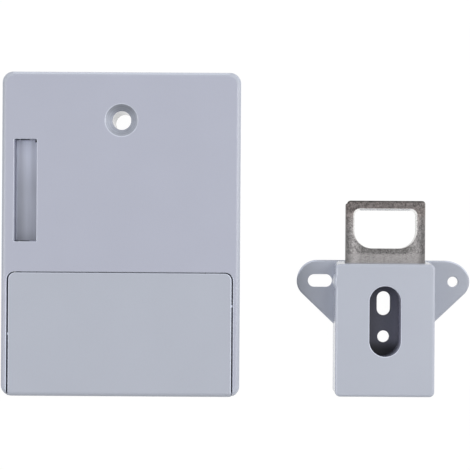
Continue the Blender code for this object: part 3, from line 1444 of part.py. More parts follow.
def ear_half(reach):
    """One ear's outline from its foot on the housing round the tip to its upper edge."""
    ear_y = STRIKE_Y + EAR_RISE
    lower = arc(reach - EAR_TIP_RADIUS, ear_y, EAR_TIP_RADIUS, EAR_FALL_DEGREES - 90, 0)
    upper = arc(reach - EAR_TOP_RADIUS, ear_y, EAR_TOP_RADIUS, 0, 90)
    inner = strike_side - STRIKE_WALL / 2
    fall = math.tan(math.radians(EAR_FALL_DEGREES)) * (lower[0][0] - inner)
    return [(inner, lower[0][1] - fall)] + lower + upper[1:]


def ear_outline():
    """The outline of the base flange with both ears."""
    right = [(STRIKE_X + x, y) for x, y in ear_half(EAR_REACH)]
    left = [(STRIKE_X - x, y) for x, y in reversed(ear_half(LEFT_EAR_REACH))]
    return right + left


ears = flat("ears", [ear_outline()], (0.0, EAR_THICKNESS))


def on_top_rim(edge):
    """True on the upper rim of a flat piece."""
    level = EAR_THICKNESS - EAR_EDGE / 10
    normals = [f.normal.z for f in edge.link_faces]
    return all(v.co.z > level for v in edge.verts) and min(normals) < 0.5 < max(normals)


soften(ears, EAR_EDGE, on_top_rim)
add(strike_housing, ears)
ear_slot = (STRIKE_X - EAR_SLOT_REACH, STRIKE_Y + EAR_SLOT_RISE)
ear_slot_points = slot_outline(*ear_slot, EAR_SLOT_WIDTH, EAR_SLOT_LENGTH, "X")
cut(strike_housing, flat("ear_slot", [ear_slot_points], (-OVERCUT, EAR_THICKNESS + OVERCUT)))
ear_hole = (STRIKE_X + EAR_HOLE_REACH, STRIKE_Y + EAR_RISE)
cut(
    strike_housing,
    rod("ear_hole", "Z", ear_hole, EAR_HOLE_BORE / 2, (-OVERCUT, EAR_THICKNESS + OVERCUT), MEDIUM_SIDES),
)
bulge_x = STRIKE_X - strike_side - BULGE_STAND + BULGE_HALF_WIDTH
bulge_points = [
    (bulge_x + BULGE_HALF_WIDTH * x, ear_slot[1] + BULGE_HALF_LENGTH * y)
    for x, y in arc(0.0, 0.0, 1.0, 0, 360, ROUND_SIDES)[:-1]
]
add(strike_housing, flat("ear_bulge", [bulge_points], (EAR_THICKNESS / 2, STRIKE_DEPTH - STRIKE_EDGE)))
strike_inner_x = (STRIKE_X - STRIKE_INNER_SIDE, STRIKE_X + STRIKE_INNER_SIDE)
cut(
    strike_housing,
    block(
        "strike_hollow",
        strike_inner_x,
        (STRIKE_INNER_BOTTOM, STRIKE_INNER_TOP),
        (-OVERCUT, STRIKE_INNER_FRONT),
    ),
)
window_points = slot_outline(STRIKE_X, WINDOW_Y, WINDOW_WIDTH, WINDOW_LENGTH, "Y")
cut(
    strike_housing,
    flat("window", [window_points], (STRIKE_INNER_FRONT - OVERCUT, STRIKE_DEPTH + OVERCUT)),
)
cut(
    strike_housing,
    block(
        "tongue_slot",
        (TONGUE_X - TONGUE_WIDTH / 2 - GAP, TONGUE_X + TONGUE_WIDTH / 2 + GAP),
        (STRIKE_INNER_TOP - OVERCUT, STRIKE_TOP + STRIKE_SLOPE + OVERCUT),
        (TONGUE_LEVEL - GAP, TONGUE_HIGH + GAP),
    ),
)
strike_screw_places = (
    (STRIKE_X - LEG_MIDDLE, TONGUE_SCREW_Y),
    (STRIKE_X + LEG_MIDDLE, TONGUE_SCREW_Y),
)
for number, place in enumerate(strike_screw_places):
    post_span = (TONGUE_HIGH + GAP, STRIKE_INNER_FRONT + ROOT)
    add(strike_housing, rod(f"housing_post{number}", "Z", place, BOSS_RADIUS, post_span, SMALL_SIDES))
    cut(
        strike_housing,
        rod(
            f"housing_post_hole{number}",
            "Z",
            place,
            SCREW_HOLE_RADIUS,
            (TONGUE_HIGH, STRIKE_INNER_FRONT),
            SMALL_SIDES,
        ),
    )
finish(strike_housing, GREY, (STRIKE_X, STRIKE_Y, 0.0))

# Strike base with the well under the window
strike_base = block(
    "strike_base",
    (strike_inner_x[0] + GAP, strike_inner_x[1] - GAP),
    (STRIKE_INNER_BOTTOM + GAP, STRIKE_INNER_TOP - GAP),
    (0.0, BASE_THICKNESS),
)
well_width = WINDOW_WIDTH + 2 * WELL_EASE
well_length = WINDOW_LENGTH + 2 * WELL_EASE
well_inner = slot_outline(STRIKE_X, WINDOW_Y, well_width, well_length, "Y")
well_outer = slot_outline(
    STRIKE_X, WINDOW_Y, well_width + 2 * WELL_WALL, well_length + 2 * WELL_WALL, "Y"
)
add(
    strike_base,
    flat("well", [well_outer, well_inner], (BASE_THICKNESS - ROOT, STRIKE_INNER_FRONT - GAP)),
)
base_slot_points = slot_outline(
    BASE_SLOT_X, WINDOW_Y + BASE_SLOT_RISE, BASE_SLOT_WIDTH, BASE_SLOT_LENGTH, "Y"
)
cut(strike_base, flat("base_slot", [base_slot_points], (-OVERCUT, BASE_THICKNESS + OVERCUT)))
cut(
    strike_base,
    rod(
        "base_hole",
        "Z",
        (BASE_SLOT_X, WINDOW_Y - BASE_HOLE_DROP),
        BASE_HOLE_BORE / 2,
        (-OVERCUT, BASE_THICKNESS + OVERCUT),
        MEDIUM_SIDES,
    ),
)
for number, place in enumerate(strike_screw_places):
    post_span = (BASE_THICKNESS - ROOT, TONGUE_LEVEL - GAP)
    add(strike_base, rod(f"base_post{number}", "Z", place, BOSS_RADIUS, post_span, SMALL_SIDES))
    cut(
        strike_base,
        rod(f"base_post_hole{number}", "Z", place, SCREW_HOLE_RADIUS, (-OVERCUT, TONGUE_LEVEL), SMALL_SIDES),
    )
    recess = (-OVERCUT, case_screw_seat + GAP)
    cut(strike_base, rod(f"base_recess{number}", "Z", place, head_clear, recess, MEDIUM_SIDES))
    screw(f"strike_screw_{number + 1}", *place, case_screw_seat, STRIKE_INNER_FRONT - 2 * GAP, True)
finish(strike_base, CHARCOAL, (STRIKE_X, STRIKE_Y, 0.0))

# Strike tongue with its eye and two legs beside the well
tongue_side = TONGUE_WIDTH / 2
fork_top = WELL_TOP + TONGUE_LEG_CLEAR
tongue_outline = arc(
    TONGUE_X + tongue_side - TONGUE_TIP_CORNER, TONGUE_TIP - TONGUE_TIP_CORNER, TONGUE_TIP_CORNER, 0, 90, 3
)
tongue_outline += arc(
    TONGUE_X - tongue_side + TONGUE_TIP_CORNER, TONGUE_TIP - TONGUE_TIP_CORNER, TONGUE_TIP_CORNER, 90, 180, 3
)
tongue_outline.append((TONGUE_X - tongue_side, TONGUE_END))
tongue_outline.append((STRIKE_X - LEG_INNER, TONGUE_END))
tongue_outline.append((STRIKE_X - LEG_INNER, fork_top))
tongue_outline.append((STRIKE_X + LEG_INNER, fork_top))
tongue_outline.append((STRIKE_X + LEG_INNER, TONGUE_END))
tongue_outline.append((TONGUE_X + tongue_side, TONGUE_END))
eye_top = TONGUE_TIP - EYE_TIP_BAR
eye_outline = rectangle(
    (TONGUE_X - EYE_WIDTH / 2, TONGUE_X + EYE_WIDTH / 2),
    (eye_top - EYE_LENGTH, eye_top),
    EYE_TIP_CORNER,
    EYE_ROOT_CORNER,
)
strike_tongue = flat("strike_tongue", [tongue_outline, eye_outline], (TONGUE_LEVEL, TONGUE_HIGH))


def on_tongue_rim(edge):
    """True on the rims of the tongue outside the housing."""
    outside = all(v.co.y > STRIKE_TOP + STRIKE_SLOPE + GAP for v in edge.verts)
    level = abs(edge.verts[0].co.z - edge.verts[1].co.z) < GAP
    normals = [abs(f.normal.z) for f in edge.link_faces]
    return outside and level and min(normals) < 0.5 < max(normals)


soften(strike_tongue, TONGUE_EDGE, on_tongue_rim)
for number, place in enumerate(strike_screw_places):
    hole_span = (TONGUE_LEVEL - OVERCUT, TONGUE_HIGH + OVERCUT)
    cut(strike_tongue, rod(f"tongue_hole{number}", "Z", place, SCREW_HOLE_RADIUS, hole_span, SMALL_SIDES))
finish(strike_tongue, NICKEL, (STRIKE_X, STRIKE_Y, 0.0))
print(f"case depth {CASE_DEPTH * 1000:.2f} mm, cover line {COVER_LINE * 1000:.2f} mm")
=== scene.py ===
import math

import bmesh
import bpy
from mathutils import Matrix, Vector


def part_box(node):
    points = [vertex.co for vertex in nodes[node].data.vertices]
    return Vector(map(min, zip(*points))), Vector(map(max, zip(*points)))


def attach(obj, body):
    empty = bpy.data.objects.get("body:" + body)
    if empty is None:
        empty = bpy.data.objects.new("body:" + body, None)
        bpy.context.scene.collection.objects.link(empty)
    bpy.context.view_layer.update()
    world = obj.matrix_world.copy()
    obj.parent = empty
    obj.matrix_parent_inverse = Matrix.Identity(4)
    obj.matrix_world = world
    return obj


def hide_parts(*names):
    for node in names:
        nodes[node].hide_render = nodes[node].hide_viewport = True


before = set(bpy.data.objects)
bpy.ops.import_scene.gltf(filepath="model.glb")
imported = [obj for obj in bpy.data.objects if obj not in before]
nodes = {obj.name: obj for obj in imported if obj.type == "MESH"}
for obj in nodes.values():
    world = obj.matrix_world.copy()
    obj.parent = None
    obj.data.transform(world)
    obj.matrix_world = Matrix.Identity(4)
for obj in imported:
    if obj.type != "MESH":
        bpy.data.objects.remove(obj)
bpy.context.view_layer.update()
MM = 0.001
SIDES = (-1, 1)

# Lock case, in millimetres
CASE_X = 41.2
CASE_Y = 56.0
CASE_Z = 23.0
CASE_CORNER = 3.8
CASE_EDGE = 1.6
INNER_X = 39.15
INNER_Y = 53.95
INNER_FRONT = 20.8
INNER_CORNER = 1.75
BACK_PLATE = 2.0
FOOT = 2.3  # where bosses and chute stand above the back plate
GAP = 0.3
LIP = 0.34
ROOT = 0.4  # how far a rib runs into the wall that carries it
PAST = 2.0  # how far a cutter runs past the case
NUDGE = 0.002  # keeps a rounded rim off the surface that it cuts

# Screws
SCREW_HOLE = 1.3
SCREW_BOSS = 2.8
SCREW_RECESS = 2.4
RECESS_DEEP = 1.55
SCREW_SEAT = 1.25
SCREW_PITCH = 0.5
TOP_BOSS = (35.25, 50.05)
BOARD_SCREWS = ((8.3, 43.2), (35.75, -6.85))

# Strike slot, shutter and screw hole
SLOT_X = (-36.9, -29.3)
SLOT_Y = (-2.65, 32.65)
HINGE = (-35.7, 16.2)
HINGE_BORE = 0.8
TURN_STEPS = 28
TORSION_RADIUS = 1.08
TORSION_TOP = -4.75
TORSION_PITCH = 0.95
HOLE_Y = 39.35
HOLE_BORE = 3.25
HOLE_FLARE = 5.6
HOLE_ROUND = 0.4
TUBE_RADIUS = 4.9

# Battery bay
COVER_LINE = -13.15
COVER_GAP = 0.4
COVER_SIDE = 38.75
COVER_CORNER = 2.4
COVER_UNDER = 21.1
SKIRT = 1.6
SKIRT_LOW = 12.2
RIGHT_SHY = 0.3  # the right side of the gap lies this much further in
RAIL_INNER = 37.75
RAIL_END = -53.55
RAIL_Z = (18.4, 19.6)
RUNNER_X = (36.45, 37.45)
RUNNER_END = -54.8
RUNNER_Z = (17.2, 18.1)
HOOK_X = (29.35, 34.35)
FLANGE_X = (-29.0, 29.0)
BAY_MIDDLE = 31.0
TRAY_X = 36.15
TRAY_Y = (-53.65, -9.95)
TRAY_Z = (7.6, 20.5)
TRAY_FLOOR = 8.8
TRAY_INNER_X = 34.95
TRAY_INNER_TOP = -11.15
TRAY_BOSS_TOP = 8.0
PARTITION_X = (25.85, 27.05)
PARTITION_HIGH = 17.0
MOUNT_Y = -45.0
MOUNT_BORE = 2.3
TRAY_SCREW_Y = -35.5
BUTTON_Y = -19.65
CELL_RADIUS = 5.2
CELL_LENGTH = 44.5
CELL_BAND = 30.5
CELL_MIDDLE = 14.3
CELL_FIRST = -48.45
CELL_PITCH = 10.6
CONTACT_X = 25.15
LEAD_X = 28.35
LEAD_STEP = 2.2
LEAD_RADIUS = 0.45
LEAD_RUN_Y = -7.85
SOCKET_STEP = 2.4
MOTOR_X = -14.0
MOTOR_Z = 8.325

# Strike
STRIKE_X = 91.95
STRIKE_Y = -33.02
STRIKE_HALF = 17.35
STRIKE_TOP = -9.87
STRIKE_BOTTOM = -56.17
STRIKE_Z = 16.0
STRIKE_SLOPE = 1.1
STRIKE_CORNER = 1.8
STRIKE_EDGE = 0.9
HOLLOW_HALF = 15.55
HOLLOW_TOP = 14.0
EAR_Y = -16.17
EAR_Z = 2.5
EAR_REACH = (30.45, 31.05)
EAR_TIP = 6.2
EAR_TOP = 7.25
EAR_LIFT = 1.034
EAR_STRETCH = 1.22
EAR_FALL = 43.5
EAR_SLOT = (STRIKE_X - 22.2, EAR_Y + 0.18)
EAR_HOLE = (STRIKE_X + 25.1, EAR_Y)
BULGE = (2.75, 4.5)
BULGE_STAND = 0.42
WINDOW_Y = -29.87
WINDOW_WIDTH = 11.0
WINDOW_LENGTH = 24.6
BASE_SLOT_X = 92.45
BASE_STEP = 5.9
BASE_Z = 2.0
WELL_Z = 13.7
TONGUE_X = 92.35
TONGUE_Z = (7.0, 10.0)
TONGUE_TIP = 12.39
TONGUE_HALF = 14.0
TONGUE_END = -37.87
TONGUE_GAP = 0.3
LEG_INNER = 7.55
FORK_TOP = -15.52
TONGUE_SCREWS = [(STRIKE_X + side * 10.775, -33.87) for side in SIDES]

# Materials
GRAIN = 0.00003  # metres
DRAWN = 0.00002
NOISE_BAND = (0.3, 0.7)
LINE_BAND = (0.25, 0.75)
SPECKLE_BAND = (0.36, 0.64)
RIM_Z = (0.1, 0.985)  # a rounded rim's normal


# Outlines, counter-clockwise in millimetres

def arc(x, y, radius, start, end, steps):
    found = []
    for step in range(steps + 1):
        angle = math.radians(start + (end - start) * step / steps)
        found.append((x + radius * math.cos(angle), y + radius * math.sin(angle)))
    return found


def rectangle(x, y, upper, lower=None, steps=12):
    lower = upper if lower is None else lower
    outline = arc(x[1] - upper, y[1] - upper, upper, 0, 90, steps)
    outline += arc(x[0] + upper, y[1] - upper, upper, 90, 180, steps)
    outline += arc(x[0] + lower, y[0] + lower, lower, 180, 270, steps)
    outline += arc(x[1] - lower, y[0] + lower, lower, 270, 360, steps)
    return outline


def corners(x, y):
    return [(x[1], y[1]), (x[0], y[1]), (x[0], y[0]), (x[1], y[0])]


def about(middle, half):
    return (middle - half, middle + half)


def span(side, near, far):
    """A range of x that is mirrored for the left side."""
    return sorted((side * near, side * far))


def stadium(x, y, width, length, along, steps=24):
    half = (length - width) / 2
    if along == "X":
        ends = ((x + half, y, -90), (x - half, y, 90))
    else:
        ends = ((x, y + half, 0), (x, y - half, 180))
    found = []
    for u, v, start in ends:
        found += arc(u, v, width / 2, start, start + 180, steps)
    return found


def window(more=0.0):
    """The window's outline, made wider and longer by a length."""
    return stadium(STRIKE_X, WINDOW_Y, WINDOW_WIDTH + more, WINDOW_LENGTH + more, "Y", 32)


def circle(x, y, radius, sides=48):
    return arc(x, y, radius, 0, 360 - 360 / sides, sides - 1)


def moved(outline, distance):
    """The outline moved inwards by a distance, or outwards by a negative one."""
    if abs(distance) < 1e-9:
        return list(outline)
    points = [Vector(point) for point in outline]
    normals = []
    for here, after in zip(points, points[1:] + points[:1]):
        along = (after - here).normalized()
        normals.append(Vector((-along.y, along.x)))
    found = []
    for i, (x, y) in enumerate(outline):
        normal = (normals[i - 1] + normals[i]).normalized()
        reach = distance / max(normal.dot(normals[i - 1]), 0.4)
        found.append((x + normal.x * reach, y + normal.y * reach))
    return found


# Solids

def place_in_scene(name, data):
    made = bpy.data.objects.new(name, data)
    bpy.context.scene.collection.objects.link(made)
    return made


def new_object(bm, name="solid"):
    bmesh.ops.recalc_face_normals(bm, faces=bm.faces)
    mesh = bpy.data.meshes.new(name)
    bm.to_mesh(mesh)
    bm.free()
    return place_in_scene(name, mesh)


def skin(bm, rings):
    """Faces between rings of points in millimetres. A ring of one point is a pole."""
    rows = [[bm.verts.new(Vector(p) * MM) for p in ring] for ring in rings]
    for low, high in zip(rows, rows[1:]):
        count = max(len(low), len(high))
        for i in range(count):
            j = (i + 1) % count
            face = [low[i % len(low)], low[j % len(low)], high[j % len(high)], high[i % len(high)]]
            face = list(dict.fromkeys(face))
            if len(face) > 2:
                bm.faces.new(face)
    return rows


def loft(rings):
    """A closed solid through rings, with flat ends."""
    bm = bmesh.new()
    rows = skin(bm, rings)
    bm.faces.new(list(reversed(rows[0])))
    bm.faces.new(rows[-1])
    return new_object(bm)


def level(outline, z):
    return [(x, y, z) for x, y in outline]


def rims(outline, z, low, high, steps, way):
    """Rings with rounded rims, which turn inwards for a way of 1 and outwards for -1."""
    turns = [math.pi / 2 * step / steps for step in range(steps + 1)]
    rings = []
    if low > 0:
        for angle in turns[:-1]:
            inset = way * low * (1 - math.sin(angle))
            rings.append(level(moved(outline, inset), z[0] + low * (1 - math.cos(angle))))
    rings.append(level(outline, z[0] + low))
    rings.append(level(outline, z[1] - high))
    if high > 0:
        for angle in turns[1:]:
            inset = way * high * (1 - math.cos(angle))
            rings.append(level(moved(outline, inset), z[1] - high + high * math.sin(angle)))
    return rings


def solid(outline, z, low=0.0, high=0.0, steps=6):
    """A flat piece with rounded lower and upper rims."""
    return loft(rims(outline, z, low, high, steps, 1))


def opening(outline, z, low=0.0, high=0.0, steps=5, over=1.5):
    """A cutter for a hole. A rim with a radius is rounded, and the cutter runs on past it."""
    ends = (z[0] - NUDGE if low > 0 else z[0], z[1] + NUDGE if high > 0 else z[1])
    rings = rims(outline, ends, low, high, steps, -1)
    if low > 0:
        rings.insert(0, level(moved(outline, -low), z[0] - over))
    if high > 0:
        rings.append(level(moved(outline, -high), z[1] + over))
    return loft(rings)


def box(x, y, z, corner=0.0):
    outline = rectangle(x, y, corner, steps=4) if corner > 0 else corners(x, y)
    return solid(outline, z)


def lathe(profile, place=(0.0, 0.0, 0.0), sides=48, axis="Z"):
    """A solid turned from a profile of (radius, height) points that starts and ends on its axis."""
    bm = bmesh.new()
    rings = []
    for radius, height in profile:
        ring = circle(0.0, 0.0, radius, sides) if radius > 0 else [(0.0, 0.0)]
        rings.append(level(ring, height))
    skin(bm, rings)
    if axis == "X":
        bmesh.ops.transform(bm, matrix=Matrix.Rotation(math.pi / 2, 4, "Y"), verts=bm.verts)
    if axis == "Y":
        bmesh.ops.transform(bm, matrix=Matrix.Rotation(-math.pi / 2, 4, "X"), verts=bm.verts)
    bmesh.ops.translate(bm, vec=Vector(place) * MM, verts=bm.verts)
    return new_object(bm)


def rod(radius, y, place):
    """A round bar along Y at a place in x and z."""
    profile = [(0.0, y[0]), (radius, y[0]), (radius, y[1]), (0.0, y[1])]
    return lathe(profile, (place[0], 0.0, place[1]), 24, "Y")


def tube(name, path, radius, sides=10):
    """A round wire along points in millimetres."""
    data = bpy.data.curves.new(name, "CURVE")
    data.dimensions = "3D"
    data.bevel_depth = radius * MM
    data.bevel_resolution = max(1, sides // 4)
    data.use_fill_caps = True
    spline = data.splines.new("POLY")
    spline.points.add(len(path) - 1)
    for point, place in zip(spline.points, path):
        point.co = (*(Vector(place) * MM), 1.0)
    curve = place_in_scene(name, data)
    mesh = evaluated_mesh(curve)
    bpy.data.objects.remove(curve, do_unlink=True)
    bpy.data.curves.remove(data)
    mesh.name = name
    for face in mesh.polygons:
        face.use_smooth = True
    return place_in_scene(name, mesh)


def screw_boss(place, z):
    return solid(circle(*place, SCREW_BOSS, 32), z)


def screw_hole(place, z):
    return opening(circle(*place, SCREW_HOLE, 24), z)


def screw_recess(place):
    return opening(circle(*place, SCREW_RECESS), (0.0, RECESS_DEEP), low=0.2)


# Pieces from solids

def evaluated_mesh(made):
    bpy.context.view_layer.update()
    graph = bpy.context.evaluated_depsgraph_get()
    return bpy.data.meshes.new_from_object(made.evaluated_get(graph))


def dress(piece, material, body, replaced):
    piece.data.materials.clear()
    piece.data.materials.append(material)
    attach(piece, body)
    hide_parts(*replaced)
    return piece


class Piece:
    """A named piece that is built up from a first solid."""

    def __init__(self, name, first):
        first.name = first.data.name = name
        self.made = first

    def combine(self, operation, helper):
        step = self.made.modifiers.new("step", "BOOLEAN")
        step.operation = operation
        step.solver = "EXACT"
        step.object = helper

    def add(self, helper):
        self.combine("UNION", helper)

    def cut(self, helper):
        self.combine("DIFFERENCE", helper)

    def turn(self, axis):
        """Half a turn about an axis."""
        self.made.data.transform(Matrix.Rotation(math.pi, 4, axis))

    def shift(self, *place):
        self.made.data.transform(Matrix.Translation(Vector(place) * MM))

    def settle(self):
        """Applies the modifiers and removes the helpers that they used."""
        mesh = evaluated_mesh(self.made)
        helpers = [m.object for m in self.made.modifiers if m.type == "BOOLEAN"]
        self.made.modifiers.clear()
        old, self.made.data = self.made.data, mesh
        bpy.data.meshes.remove(old)
        for helper in helpers:
            data = helper.data
            bpy.data.objects.remove(helper, do_unlink=True)
            bpy.data.meshes.remove(data)

    def done(self, material, body, replaced, slot, angle=32.0):
        """Shades the piece smooth, with flat faces flat and sharp edges sharp, and dresses it."""
        if self.made.modifiers:
            self.settle()
        for face in self.made.data.polygons:
            face.use_smooth = True
        self.made.data.set_sharp_from_angle(angle=math.radians(angle))
        step = self.made.modifiers.new("normals", "WEIGHTED_NORMAL")
        step.keep_sharp = True
        step.weight = 80
        self.settle()
        return dress(self.made, material, body, replaced)

    def paint(self, others, rule):
        """Adds materials. A rule finds a face's material from its centre and normal."""
        for material in others:
            self.made.data.materials.append(material)
        for face in self.made.data.polygons:
            found = rule(face.center / MM, face.normal)
            if found is not None:
                face.material_index = 1 + others.index(found)


def rounded(normal):
    return RIM_Z[0] < normal.z < RIM_Z[1]


# Materials

class Nodes:
    """A short way to write the nodes of a tree."""

    def __init__(self, tree):
        self.tree = tree

    def link(self, value, socket):
        if isinstance(value, bpy.types.NodeSocket):
            self.tree.links.new(value, socket)
        elif value is not None:
            is_colour = socket.type == "RGBA" and len(value) == 3
            socket.default_value = (*value, 1.0) if is_colour else value

    def node(self, kind, inputs=None, **settings):
        made = self.tree.nodes.new("ShaderNode" + kind)
        for key, value in settings.items():
            setattr(made, key, value)
        for key, value in (inputs or {}).items():
            self.link(value, made.inputs[key])
        return made

    def math(self, operation, a, b=None):
        return self.node("Math", {0: a, 1: b}, operation=operation).outputs["Value"]

    def plus(self, a, b):
        return self.math("ADD", a, b)

    def minus(self, a, b):
        return self.math("SUBTRACT", a, b)

    def times(self, product, *others):
        for other in others:
            product = self.math("MULTIPLY", product, other)
        return product

    def ramp(self, value, low, high, start=0.0, end=1.0, smooth=False):
        inputs = {"Value": value, "From Min": start, "From Max": end, "To Min": low, "To Max": high}
        kind = "SMOOTHSTEP" if smooth else "LINEAR"
        return self.node("MapRange", inputs, interpolation_type=kind).outputs["Result"]

    def fade(self, value, low, high, start, end, smooth=True):
        """A change between two places in millimetres."""
        return self.ramp(value, low, high, start * MM, end * MM, smooth)

    def vary(self, noise, low, high, band=NOISE_BAND):
        """The middle band of a noise as a range of values."""
        return self.ramp(noise, low, high, *band)

    def seen(self):
        """One for a ray that shows a surface straight, mirrored or through glass."""
        rays = self.node("LightPath").outputs
        seen = self.math("MAXIMUM", rays["Is Camera Ray"], rays["Is Glossy Ray"])
        return self.math("MAXIMUM", seen, rays["Is Transmission Ray"])


class Graph(Nodes):
    """The nodes of a new material."""

    def __init__(self, name):
        self.material = bpy.data.materials.new(name)
        self.material.use_nodes = True
        super().__init__(self.material.node_tree)
        self.shader = self.tree.nodes["Principled BSDF"]
        self.coords = self.node("TexCoord").outputs["Object"]

    def axis(self, name):
        return self.node("SeparateXYZ", {"Vector": self.coords}).outputs[name]

    def noise(self, scale, detail=3.0, rough=0.55, stretch=None):
        vector = self.coords
        if stretch is not None:
            vector = self.node("Mapping", {"Vector": vector, "Scale": stretch}).outputs["Vector"]
        inputs = {"Vector": vector, "Scale": scale, "Detail": detail, "Roughness": rough}
        return self.node("TexNoise", inputs).outputs["Fac"]

    def voronoi(self, scale):
        inputs = {"Vector": self.coords, "Scale": scale}
        return self.node("TexVoronoi", inputs).outputs["Distance"]

    def mix(self, fac, a, b, blend="MIX"):
        inputs = {"Factor": fac, "A": a, "B": b}
        return self.node("Mix", inputs, data_type="RGBA", blend_type=blend).outputs["Result"]

    def bump(self, height, strength, distance=GRAIN):
        inputs = {"Height": height, "Strength": strength, "Distance": distance}
        return self.node("Bump", inputs).outputs["Normal"]

    def finish(self, base, tone, roughness, normal=None, metallic=0.0, specular=0.5, coat=0.0):
        """Sets the shader. A tone is a grey value that the base colour is multiplied by."""
        if tone is not None:
            base = self.mix(1.0, base, tone, "MULTIPLY")
        inputs = {
            "Base Color": base,
            "Roughness": roughness,
            "Normal": normal,
            "Metallic": metallic,
            "Specular IOR Level": specular,
            "Coat Weight": coat,
        }
        for key, value in inputs.items():
            self.link(value, self.shader.inputs[key])
        return self.material


def plastic(name, base, rough, grain=0.08, mottle=0.01):
    """Moulded plastic with a fine spark-eroded grain and faint flow marks."""
    g = Graph(name)
    clouds = g.noise(60.0, 2.0, 0.5)
    specks = g.noise(5200.0, 3.0, 0.6)
    fine = g.noise(11000.0, 2.0, 0.6)
    tone = g.times(g.vary(clouds, 1 - mottle, 1 + mottle), g.vary(specks, 0.985, 1.015))
    height = g.plus(fine, g.times(specks, 0.6))
    return g.finish(base, tone, g.vary(specks, *rough), g.bump(height, grain))


def steel(name, base, rough=(0.25, 0.42), stretch=None, scale=1500.0, contrast=0.12):
    """Plated steel with fine drawing lines and cloudy brightness."""
    g = Graph(name)
    lines = g.noise(scale, 4.0, 0.65, stretch)
    clouds = g.noise(170.0, 3.0)
    tone = g.times(g.vary(lines, 1 - contrast, 1 + contrast), g.vary(clouds, 0.93, 1.07))
    shine = g.vary(lines, *rough, LINE_BAND)
    return g.finish(base, tone, shine, g.bump(lines, 0.12, DRAWN), metallic=1.0)


def scaled(base, factor):
    return tuple(channel * factor for channel in base)


def shutter_plastic():
    """The shutter's grey with faint draw marks along it, and painted light and shade: darker
    towards its lower end and rims, lighter towards its upper end and on its very left edge.
    """
    g = Graph("grey_shutter_painted_shade")
    x, y = g.axis("X"), g.axis("Y")
    # Painted shade: darker at the lower end, lighter towards the upper end
    foot = g.fade(y, 0.80, 1.0, SLOT_Y[0], 2.5)
    fall = g.times(g.fade(y, 0.90, 1.08, 0.0, 14.0), g.fade(y, 1.0, 1.46, 14.0, 32.0), foot)
    # Painted shade by the right rim and along the left side, and a painted highlight on the very
    # left edge
    right = g.times(g.fade(x, 0.0, 1.0, -32.4, -31.0), g.fade(y, 0.0, 0.10, 4.0, 18.0))
    left = g.times(g.fade(x, 1.0, 0.0, SLOT_X[0], -36.0), g.fade(y, 0.42, 0.06, 6.0, 30.0))
    side_shade = g.fade(x, 0.77, 1.05, -35.3, -33.2)
    side_shade = g.times(side_shade, g.minus(1.0, right), g.plus(left, 1.0))
    specks = g.noise(2600.0, 3.0, 0.6)
    streaks = g.noise(700.0, 3.0, 0.5, (1.0, 0.05, 1.0))
    tone = g.times(fall, side_shade, g.vary(streaks, 0.95, 1.05))
    base = (0.505, 0.528, 0.608)
    return g.finish(base, tone, g.vary(streaks, 0.3, 0.44), g.bump(specks, 0.12))


def countersink_plastic():
    """The countersink's grey with fine turned rings, and painted shade on its upper and lower
    sides.
    """
    g = Graph("grey_countersink")
    x = g.axis("X")
    y = g.minus(g.axis("Y"), HOLE_Y * MM)
    radius = g.math("SQRT", g.plus(g.times(x, x), g.times(y, y)))
    ring_pitch = 0.7 * MM
    rings = g.math("SINE", g.times(radius, 2 * math.pi / ring_pitch))
    tone = g.times(g.vary(rings, 0.93, 1.07, (-1.0, 1.0)), g.vary(g.noise(600.0), 0.94, 1.06))
    # Painted shade: darker on the upper side, a little darker on the lower side
    tone = g.times(tone, g.fade(y, 1.0, 0.64, 0.5, 5.0), g.fade(y, 0.86, 1.0, -4.5, -1.0))
    shine = g.vary(rings, 0.3, 0.4, (-1.0, 1.0))
    return g.finish(scaled(GREY_COOL, 0.96), tone, shine, g.bump(rings, 0.12))


def graded(name, base, grading, scale, contrast, rough, relief, specular=0.5):
    """Speckled plastic whose tone changes from place to place by a grading of painted light and
    shade.
    """
    g = Graph(name)
    specks = g.noise(scale, 3.0, 0.6)
    tone = g.times(grading(g), g.vary(specks, 1 - contrast, 1 + contrast))
    normal = g.bump(specks, relief)
    return g.finish(base, tone, g.vary(specks, *rough), normal, specular=specular)


def ear_painted_shade(g):
    """Painted light and shade: darker than the housing towards the tips, with the left ear lighter
    than the housing next to it.
    """
    x = g.axis("X")
    left = g.fade(x, 0.55, 1.21, 61.5, 75.5, False)
    return g.times(left, g.fade(x, 1.0, 0.69, 108.0, 109.5, False))


def well_painted_shade(g):
    """Painted shade: darker at the well's lower end and its left side."""
    fall = g.fade(g.axis("Y"), 0.24, 1.0, -40.5, -36.3)
    return g.times(fall, g.fade(g.axis("X"), 0.52, 1.27, STRIKE_X - 5.0, STRIKE_X + 4.5, False))


def well_wall_painted_light(g):
    """Painted light: lighter towards the right and along the rim."""
    side = g.fade(g.axis("X"), 0.35, 1.8, STRIKE_X - 3.0, STRIKE_X + 5.5)
    return g.plus(side, g.fade(g.axis("Z"), 0.0, 2.0, 6.0, WELL_Z))


